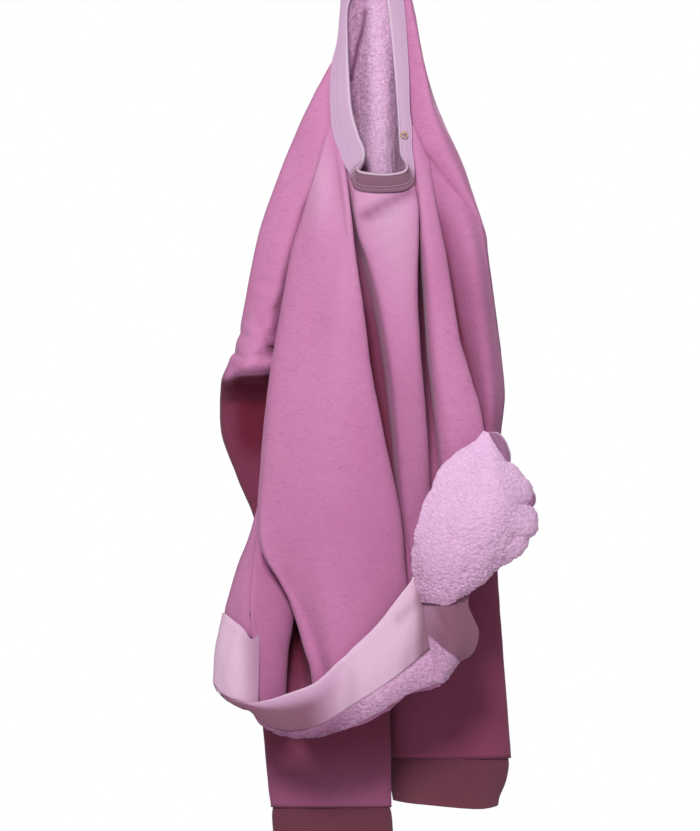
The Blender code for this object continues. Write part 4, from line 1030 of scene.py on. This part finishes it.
def back_panel():
    """The back, from the right side seam round to the left one, with the fleece inside it."""
    lines = [FRONT["right_side"]] + list(BACK.values()) + [FRONT["side_seam"]]
    shares = np.concatenate([np.linspace(0, 0.24, 150, endpoint=False), np.linspace(0.24, 1, 120)])
    grid = loft(lines, shares, [8, 10, 26, 34, 34, 26, 10, 8, 8])
    x, z = grid[..., 0], grid[..., 2]
    # The fleece seen through the neck opening stands in a middle ridge between two dips.
    near = band(z, -0.30, -0.20)
    ridge = np.exp(-(np.abs(x - RIDGE_X) / 0.0155) ** 4)
    dips = bell((x, RIDGE_X - 0.026, 0.011)) + bell((x, RIDGE_X + 0.026, 0.011))
    grid[..., 1] += near * (dips * 0.006 - ridge * 0.008)
    grid = wrinkled(grid, 23, 1.2, 0.2)
    # The bottom edge reaches down behind the hem.
    grid[-1] += (0, 0.001, -0.007)
    grid[-2] += (0, 0.0005, -0.003)
    # Both side edges reach behind the front panel's.
    grid[:, 0] += (-0.003, 0.003, 0)
    grid[:, -1] += (0.005, 0.005, 0)
    grid[:, -2] += (0.002, 0.002, 0)
    inner = pile(grid, 31, 2.2, (330, 330, 620)) * band(z, -0.40, -0.25)
    # Painted shade in the dips beside the fleece ridge, along a fold line inside, and at both lower
    # corners; a painted highlight along the ridge.
    low_left = band(-x, 0.090, 0.105) * band(-z, 0.58, 0.63)
    low_right = band(-z, 0.650, 0.675) * band(x, 0.085, 0.098)
    fold = shaded_along(grid, [(-2, -47), (-4, -64), (-12, -89), (-19, -121)], 3)
    painted_shade = np.clip(near * dips * 0.32 + 0.7 * fold + 0.30 * low_left + 0.95 * low_right, 0, 1)
    made = shell("back_panel_cloth", grid, FABRIC, (VELOUR, FLEECE), inner=inner,
                 tints={"fade_and_highlight": near * ridge * 0.45 + 0.2 * low_left, "painted_shade": painted_shade})
    dress(made, "torso", "velour", "back_panel")
    return grid


def dress(made, body, slot, *nodes):
    """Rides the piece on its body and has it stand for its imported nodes."""
    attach(made, body)
    if nodes:
        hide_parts(*nodes)


# ---------------------------------------------------------------- sleeves

def left_sleeve():
    """The left sleeve: down to its fold beside the body, then back and down behind it."""
    steps = 14
    shares = np.concatenate([np.linspace(0, 0.30, 70, endpoint=False),
                             np.linspace(0.30, 0.50, 130, endpoint=False), np.linspace(0.50, 1, 80)])
    grid = loft(list(LEFT_SLEEVE.values()), shares, steps, closed=True)
    grid = wrinkled(grid, 41, 1.2, 0.22, closed=True)
    way = smoothed(normals(grid, True), 3, True)
    grid = creased(grid, LEFT_CREASES, way)
    x, y, z = grid[..., 0], grid[..., 1], grid[..., 2]
    high = z[:-1].mean(axis=1)
    # Painted shade: the sleeve below its elbow fold, its pit and its hollows, less near the bottom;
    # painted highlights on the lit bulge and below the pit.
    front = y < 0.01
    edge = z + 0.0030 * np.sin(x * 210) + 0.0016 * np.sin(x * 520 + 1)      # the shade's wavy edge
    low = np.clip(band(y, -0.012, 0.006) * band(-edge, 0.438, 0.446) + band(-z, 0.46, 0.49), 0, 1)
    pit = 1.2 * bell((x, -0.102, 0.011), (z, -0.421, 0.008)) * front
    pit = pit + 0.5 * shaded_along(grid, [(-104, -402), (-100, -380)], 5) * front
    sheer = 0.18 * band(-z, 0.84, 0.93)
    inward = band(x, -0.158, -0.125) * (1 - band(-z, 0.50, 0.56)) * 0.22
    dips = hollows(grid, 50, 0.006, True)
    painted_shade = np.clip(low * (0.88 + inward - sheer) + 0.85 * pit + 0.3 * dips, 0, 1)
    lit = 0.15 * band(-x, 0.118, 0.130) * band(-z, 0.35, 0.40) * (1 - band(-z, 0.428, 0.438))
    pale = lit * front + 0.30 * bell((x, -0.105, 0.010), (z, -0.436, 0.006)) * front
    # Above the underarm the side towards the body is open, and the panels cover it.
    made = shell("left_sleeve_cloth", grid, FABRIC, (VELOUR, FLEECE), closed=True,
                 leave=lambda r, c: (high[r] > -0.284) & (c >= 2 * steps) & (c < 4 * steps),
                 tints={"fade_and_highlight": pale, "painted_shade": painted_shade})
    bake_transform(made)
    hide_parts("left_sleeve_upper", "left_sleeve_lower")
    return grid


def right_sleeve():
    """The right sleeve, which folds back just under its shoulder and hangs behind the body."""
    steps = 14
    grid = loft(list(RIGHT_SLEEVE.values()), 220, steps, closed=True)
    grid = wrinkled(grid, 53, 1.2, 0.22, closed=True)
    way = smoothed(normals(grid, True), 3, True)
    grid = creased(grid, RIGHT_CREASES, way)
    x, y, z = grid[..., 0], grid[..., 1], grid[..., 2]
    high = z[:-1].mean(axis=1)
    # Painted shade on the sleeve where it hangs behind the body, and in its hollows.
    low = np.clip(band(y, 0.020, 0.046) * band(-z, 0.26, 0.33) + band(-z, 0.36, 0.45), 0, 1)
    painted_shade = np.clip(low * 0.84 + 0.25 * hollows(grid, 50, 0.006, True), 0, 1)
    # Above the underarm the side towards the body is open, and the panels cover it.
    made = shell("right_sleeve_cloth", grid, FABRIC, (VELOUR, FLEECE), closed=True,
                 leave=lambda r, c: (high[r] > -0.300) & (c >= 4 * steps),
                 tints={"fade_and_highlight": np.zeros_like(x), "painted_shade": painted_shade})
    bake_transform(made)
    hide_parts("right_sleeve_upper", "right_sleeve_lower")
    return grid


def cuff(side, lines):
    """A fluted cuff, gathered at the sleeve and thinned at its cut edge."""
    grid = loft(list(lines.values()), 34, 14, closed=True)
    rows = np.linspace(0, 1, len(grid))[:, None]
    grid[..., 2] += 0.0060 * (1 - rows) ** 6
    way = smoothed(normals(grid, True), 2, True)
    run = np.linspace(0, 2 * np.pi, grid.shape[1], endpoint=False)
    flutes = 0.35 * np.sin(run * 60) * MM * np.sin(np.pi * np.clip(rows, 0.02, 0.98)) ** 0.3
    bulge = 1.0 * MM * np.sin(np.pi * rows) + 1.2 * rough(grid * (40, 40, 20), 2, 71) * MM * rows
    grid = grid + way * (flutes + bulge)[..., None]
    whole = np.ones(grid.shape[:2])
    thick = RIB * (1 - 0.60 * bell((rows * (len(grid) - 1), 0, 3.0))) * whole
    # Paler towards its bottom edge; no painted shade.
    made = shell(side + "_cuff_cloth", grid, thick, (SHADED_CUFF_RIB, SHADED_CUFF_RIB), closed=True,
                 tints={"fade_and_highlight": 0.45 * rows ** 3 * whole, "painted_shade": 0 * whole})
    dress(made, side + "_sleeve", "sleeve_velour", side + "_cuff")


def cuff_ring(side, tube):
    """Overlocked seam between the sleeve and its cuff."""
    edge = tube[-1]
    path = through(edge, 4, closed=True) - (0, 0, 0.0006)
    count = len(path)
    along = np.roll(path, -1, 0) - np.roll(path, 1, 0)
    out = np.cross((0, 0, -1.0), along)
    out = out / np.linalg.norm(out, axis=1)[:, None]
    turns = np.linspace(0, 2 * np.pi, 8, endpoint=False)
    wind = 1 + 0.22 * np.sin(np.arange(count) * 2.1)
    up = np.array((0, 0, 1))
    rings = np.array([[p + o * FABRIC * 0.75 + (o * math.cos(t) + up * math.sin(t)) * 0.0008 * w
                       for t in turns] for p, o, w in zip(path, out, wind)])
    made = swept(side + "_cuff_seam", rings, SHADED_CUFF_THREAD)
    dress(made, side + "_sleeve", "thread", side + "_cuff_ring")


# ---------------------------------------------------------------- bands and turned-out fleece

def turned_out():
    """The corner of the back panel folded forwards: curled fleece, and its two rolled edges."""
    shares = np.linspace(0, 1, 210)
    grid = loft(list(FLAP.values()), shares, [26, 30, 30, 30, 12])
    rows = shares[:, None]
    columns = np.linspace(0, 1, grid.shape[1])[None, :]
    way = smoothed(normals(grid), 3)
    border = bell((columns, 0, 0.05)) + bell((1 - columns, 0, 0.10))
    grid = grid + way * (rough(grid * (28, 28, 28), 2, 61) * 2.2 * MM)[..., None]
    ragged = rough(grid * (60, 60, 60), 2, 67)
    grid[..., 0] += ragged * border * 2.2 * MM
    grid[..., 2] += noise(grid * (70, 70, 70), 73) * bell((1 - rows, 0, 0.05)) * 3.0 * MM
    strength = 0.65 + 1.0 * rows * (1 - 0.45 * columns)
    curls = pile(grid, 81, 2.0) * strength
    # Painted shade at the rolled right border and towards the bottom and bottom left; painted light,
    # brightest at the top.
    painted_shade = 0.25 * bell((1 - columns, 0, 0.06)) + 0.30 * band(rows, 0.55, 1.0) * (1 - columns)
    painted_shade = painted_shade + 0.25 * band(rows, 0.93, 1.0)
    made = shell("turned_out_fleece", grid, FABRIC + curls, (FLEECE, VELOUR),
                 tints={"fade_and_highlight": 0.9 * (1 - 0.7 * rows) * np.ones(grid.shape[:2]), "painted_shade": painted_shade})
    for name, lines in (("turned_out_roll", ROLL), ("turned_out_curl", CURL)):
        strip = loft(list(lines.values()), 40, 8)
        # A painted highlight along each roll's outer rim and painted shade inside it.
        edge = bell((np.arange(strip.shape[1])[None], 0, 2.0)) * np.ones(strip.shape[:2])
        roll = shell(name, strip, FABRIC * 0.5, (VELOUR, FLEECE),
                     tints={"fade_and_highlight": 0.9 * edge, "painted_shade": np.clip(0.72 - 0.72 * edge, 0, 1)})
        dress(roll, "torso", "velour")
    dress(made, "torso", "fleece", "back_panel_turned_out")


def hem_turned_up():
    """The hem band turned up in front, inner side out, and the fleece that rolls under it."""
    steps = 14
    shares = np.linspace(0, 1, 240)
    full = through(np.array([spaced(line, shares) for line in HEM_FRONT.values()]), steps)
    seam_row = 2 * steps                    # the seam is the third of the lines
    grid = full[:seam_row + 2]
    grid = wrinkled(grid, 91, 1.4, 0.15)
    way = smoothed(normals(grid), 3)
    grid = creased(grid, HEM_CREASES, way)
    rows = np.linspace(0, 1, len(grid))[:, None] * np.ones((1, grid.shape[1]))
    lip = bell((rows, 0, 0.06))
    thick = RIB * (0.75 + 0.55 * lip)
    x = grid[..., 0]
    # Painted shade: the band's left lower part, its soft folds and creases, and its right end under
    # the side band; painted highlights on the rolled rim and across the middle.
    dim = 1.0 * (1 - band(x, -0.070, -0.022)) * band(rows, 0.08, 0.40)
    dim = dim + 0.35 * bell((x, 0.045, 0.012)) * band(rows, 0.45, 0.9)
    dim = dim + 0.22 * bell((x, -0.018, 0.008)) * band(rows, 0.10, 0.5)
    dim = np.clip(dim + 0.8 * band(x, 0.046, 0.060) * band(rows, 0.05, 0.3)
                  + 0.3 * shaded_along(grid, [(34, -716), (50, -700), (58, -676)], 6), 0, 1)
    made = shell("hem_band_front", grid, thick, (HEM_RIB, HEM_RIB),
                 tints={"fade_and_highlight": np.clip(0.9 * lip + 0.7 * band(x, -0.05, -0.01), 0, 1),
                        "painted_shade": dim * (1 - lip)})
    dress(made, "torso", "hem_rib", "hem_band_turned_up")
    # The fleece below the band's seam, rolling under itself, on a finer grid for its curls.
    roll = through(full[seam_row + 1::2], 4)
    fine = through(roll.transpose(1, 0, 2)[::2], 3).transpose(1, 0, 2)
    rows = np.linspace(0, 1, len(fine))[:, None] * np.ones((1, fine.shape[1]))
    rise = pile(fine, 97, 1.9) * np.clip(rows * 6, 0.15, 1)
    edge = fine + (0, 0, 1) * (noise(fine * 80, 99) * 1.5 * MM * rows)[..., None]
    # Painted shade on the fleece's left part, darker towards its bottom.
    strip = shell("hem_fleece_roll", edge, 0.6 * FABRIC + rise, (FLEECE, VELOUR),
                  tints={"fade_and_highlight": np.zeros(rows.shape),
                         "painted_shade": 0.80 * (1 - band(edge[..., 0], -0.045, 0.012)) + 0.2 * rows})
    dress(strip, "torso", "fleece")


def hem_side():
    """The hem band beside the turned-out corner, with fleece below its slanting seam."""
    grid = loft(list(HEM_RIGHT.values()), 60, 24)
    grid = wrinkled(grid, 103, 1.6, 0.2)
    way = smoothed(normals(grid), 3)
    grid = creased(grid, HEM_SIDE_CREASES, way)
    x, z = grid[..., 0], grid[..., 2]
    below = (-0.7337 - (x - 0.0676) * 0.85) - z
    furry = band(below, 0.0, 0.002)
    rise = pile(grid, 105, 1.9) * furry - 0.0012 * bell((below, 0, 0.0016))
    # Painted shade on the band below the turned-out corner, deepest to the right, less on the
    # fleece.
    painted_shade = (0.55 + 0.5 * band(x, 0.055, 0.090)) * (1 - 0.70 * furry)
    made = shell("hem_band_side", grid, RIB + rise, (HEM_RIB, HEM_RIB, FLEECE),
                 tints={"fade_and_highlight": np.zeros(grid.shape[:2]), "painted_shade": painted_shade},
                 pick=lambda r, c: np.where(below[r, c] > 0, 2, 0))
    dress(made, "torso", "hem_rib", "hem_band_right")


def hem_behind():
    """The hem band round the back, its left end coming forward into view."""
    grid = loft(list(HEM_BACK.values()), 50, 22)
    grid = wrinkled(grid, 107, 1.6, 0.2)
    way = smoothed(normals(grid), 3)
    grid = creased(grid, HEM_BACK_CREASES, way)
    # Painted light on the end that faces forwards, and painted shade beside the strip.
    front = band(-grid[..., 1], 0.0, 0.02)
    strip_side_shade = band(grid[..., 0], -0.143, -0.119) * front * 0.65
    made = shell("hem_band_back_cloth", grid, RIB, (HEM_RIB, HEM_RIB),
                 tints={"fade_and_highlight": np.clip(0.8 * front - 1.3 * strip_side_shade, 0, 1), "painted_shade": 0.6 * strip_side_shade})
    dress(made, "torso", "hem_rib", "hem_band_back")


def neck_band():
    """Double rib swept round the opening, with a rolled free edge and two sewn grooves."""
    seam, free = (through(np.array(line, float) * MM, LINE_STEPS, closed=True)
                  for line in NECK.values())
    along = np.roll(seam + free, -1, 0) - np.roll(seam + free, 1, 0)
    across = free - seam
    out = np.cross(along, across)
    out = out / np.linalg.norm(out, axis=1)[:, None]
    place = np.linspace(0, 1, 26)
    sewn = sum(bell((place, groove, 0.035)) for groove in NECK_GROOVES[:2])
    groove = bell((place, NECK_GROOVES[2], 0.045))
    lip = bell((place, 0.93, 0.07))
    low = band(-seam[:, 2], 0.11, 0.21)[:, None]
    high = NECK_HALF * (1.0 + 0.25 * np.sin(np.pi * place) - (0.10 + 0.35 * low) * sewn
                        - (0.05 + 0.45 * low) * groove + (0.25 + 0.75 * low) * lip)
    high = high * np.sqrt(np.clip(1 - np.clip((place - 0.93) / 0.07, 0, 1) ** 2, 0.02, 1))
    top = seam[:, None] + across[:, None] * place[None, :, None]
    front = top + out[:, None] * high[..., None]
    back = top - out[:, None] * (NECK_HALF * 0.9)
    front = front + out[:, None] * (rough(front * (50, 50, 25), 2, 111) * 0.35 * MM)[..., None]
    rings = np.concatenate([front, back[:, ::-1]], axis=1)
    made = swept("neck_band_cloth", rings, NECK_RIB)
    whole = np.ones(rings.shape[:2])
    # A painted highlight on the rolled lip, and painted shade on the band's lowest part.
    bright = np.concatenate([lip, lip[::-1]])[None] * whole
    dim = band(-rings[..., 2].mean(axis=1), 0.216, 0.229)[:, None] * whole
    tinted(made.data, "fade_and_highlight", (bright * 0.9).ravel())
    tinted(made.data, "painted_shade", (dim * (1 - bright)).ravel())
    dress(made, "torso", "neck_rib", "neck_band")
    for k, groove in enumerate(NECK_GROOVES[:2]):
        near = int(round(groove * (len(place) - 1)))
        path = np.concatenate([front[:, near], front[:1, near]])
        ways = np.concatenate([out, out[:1]])
        row = stitches(("neck_seam_stitches", "neck_top_stitches")[k], path, ways, THREAD, 2.2)
        dress(row, "torso", "thread", ("neck_stitch_outer", "neck_stitch_inner")[k])


def seam_rows(front, back):
    """Flatlocked raglan seams, front and back, each over a share of its panel's top edge."""
    row = 2                                 # of the panel's grid, just under that edge
    for name, grid, first, last in (
            ("raglan_stitch_front_left", front, 6.3 / 27, 9.3 / 27),
            ("raglan_stitch_front_right", front, 21.8 / 27, 26.7 / 27),
            ("raglan_stitch_back_right", back, 3 / 18, 5 / 18),
            ("raglan_stitch_back_left", back, 11 / 18, 13 / 18)):
        columns = grid.shape[1] - 1
        a, b = int(first * columns), int(last * columns)
        way = smoothed(normals(grid), 2)
        path = grid[row, a:b + 1] + way[row, a:b + 1] * FABRIC
        made = stitches(name + "_thread", path, way[row, a:b + 1], SEAM_THREAD, 2.0)
        dress(made, "torso", "thread", name)


# ---------------------------------------------------------------- room, lights and camera

def room():
    """A round pale floor under the garment."""
    mesh = bpy.data.meshes.new("floor")
    turns = np.linspace(0, 2 * math.pi, 96, endpoint=False)
    mesh.from_pydata([(FLOOR_RADIUS * math.cos(t), FLOOR_RADIUS * math.sin(t), FLOOR_Z)
                      for t in turns], [], [tuple(range(len(turns)))])
    floor = bpy.data.objects.new("floor", mesh)
    bpy.context.scene.collection.objects.link(floor)
    paint = Finish("floor")
    grain = paint.noise(paint.place_map((6, 6, 6)), 1.0, 3.0)
    paint.colour(paint.mixed(grain, (0.80, 0.79, 0.79), (0.86, 0.85, 0.85)))
    paint.shader.inputs["Roughness"].default_value = 0.8
    mesh.materials.append(paint.material)


def lamp(name, place, target, size, watts, colour):
    """A round soft light at a place, turned to its target."""
    data = bpy.data.lights.new(name, "AREA")
    data.shape = "DISK"
    data.size = size
    data.energy = watts
    data.color = colour
    made = bpy.data.objects.new(name, data)
    made.location = place
    way = np.array(target) - np.array(place)
    made.rotation_mode = "QUATERNION"
    made.rotation_quaternion = Vector(way).to_track_quat("-Z", "Y")
    bpy.context.scene.collection.objects.link(made)


def studio():
    """A white background, dimmer for the light it gives than as the camera sees it, and lamps."""
    world = bpy.data.worlds.new("studio")
    world.use_nodes = True
    tree = world.node_tree
    back = tree.nodes["Background"]
    back.inputs["Color"].default_value = (1.0, 0.98, 1.0, 1.0)
    back.inputs["Strength"].default_value = AMBIENT
    seen = tree.nodes.new("ShaderNodeBackground")
    seen.inputs["Color"].default_value = (1, 1, 1, 1)
    seen.inputs["Strength"].default_value = 1.0
    which = tree.nodes.new("ShaderNodeLightPath")
    mix = tree.nodes.new("ShaderNodeMixShader")
    tree.links.new(which.outputs["Is Camera Ray"], mix.inputs["Fac"])
    tree.links.new(back.outputs[0], mix.inputs[1])
    tree.links.new(seen.outputs[0], mix.inputs[2])
    tree.links.new(mix.outputs[0], tree.nodes["World Output"].inputs["Surface"])
    bpy.context.scene.world = world
    for row in LAMPS:
        lamp(*row)
    bpy.context.scene.view_settings.view_transform = "Standard"
    bpy.context.scene.view_settings.look = "None"


def camera():
    """A level camera, straight in front."""
    data = bpy.data.cameras.new("camera")
    data.sensor_width = SENSOR
    data.lens = SENSOR * CAMERA_AWAY / FRAME_TALL
    data.clip_end = 100
    made = bpy.data.objects.new("camera", data)
    made.location = (FRAME_CENTRE[0], CAMERA_STAND - CAMERA_AWAY, FRAME_CENTRE[1])
    made.rotation_euler = (math.pi / 2, 0, 0)
    bpy.context.scene.collection.objects.link(made)
    bpy.context.scene.camera = made


front_grid = front_panel()
back_grid = back_panel()
sleeves = ("left", LEFT_CUFF, left_sleeve()), ("right", RIGHT_CUFF, right_sleeve())
for side, lines, tube in sleeves:
    cuff(side, lines)
    cuff_ring(side, tube)
turned_out()
hem_turned_up()
hem_side()
hem_behind()
neck_band()
seam_rows(front_grid, back_grid)
for name in ("tag_pin", "tag_loop"):
    for place in bpy.data.objects[name].material_slots:
        place.material = PLASTIC
room()
studio()
camera()
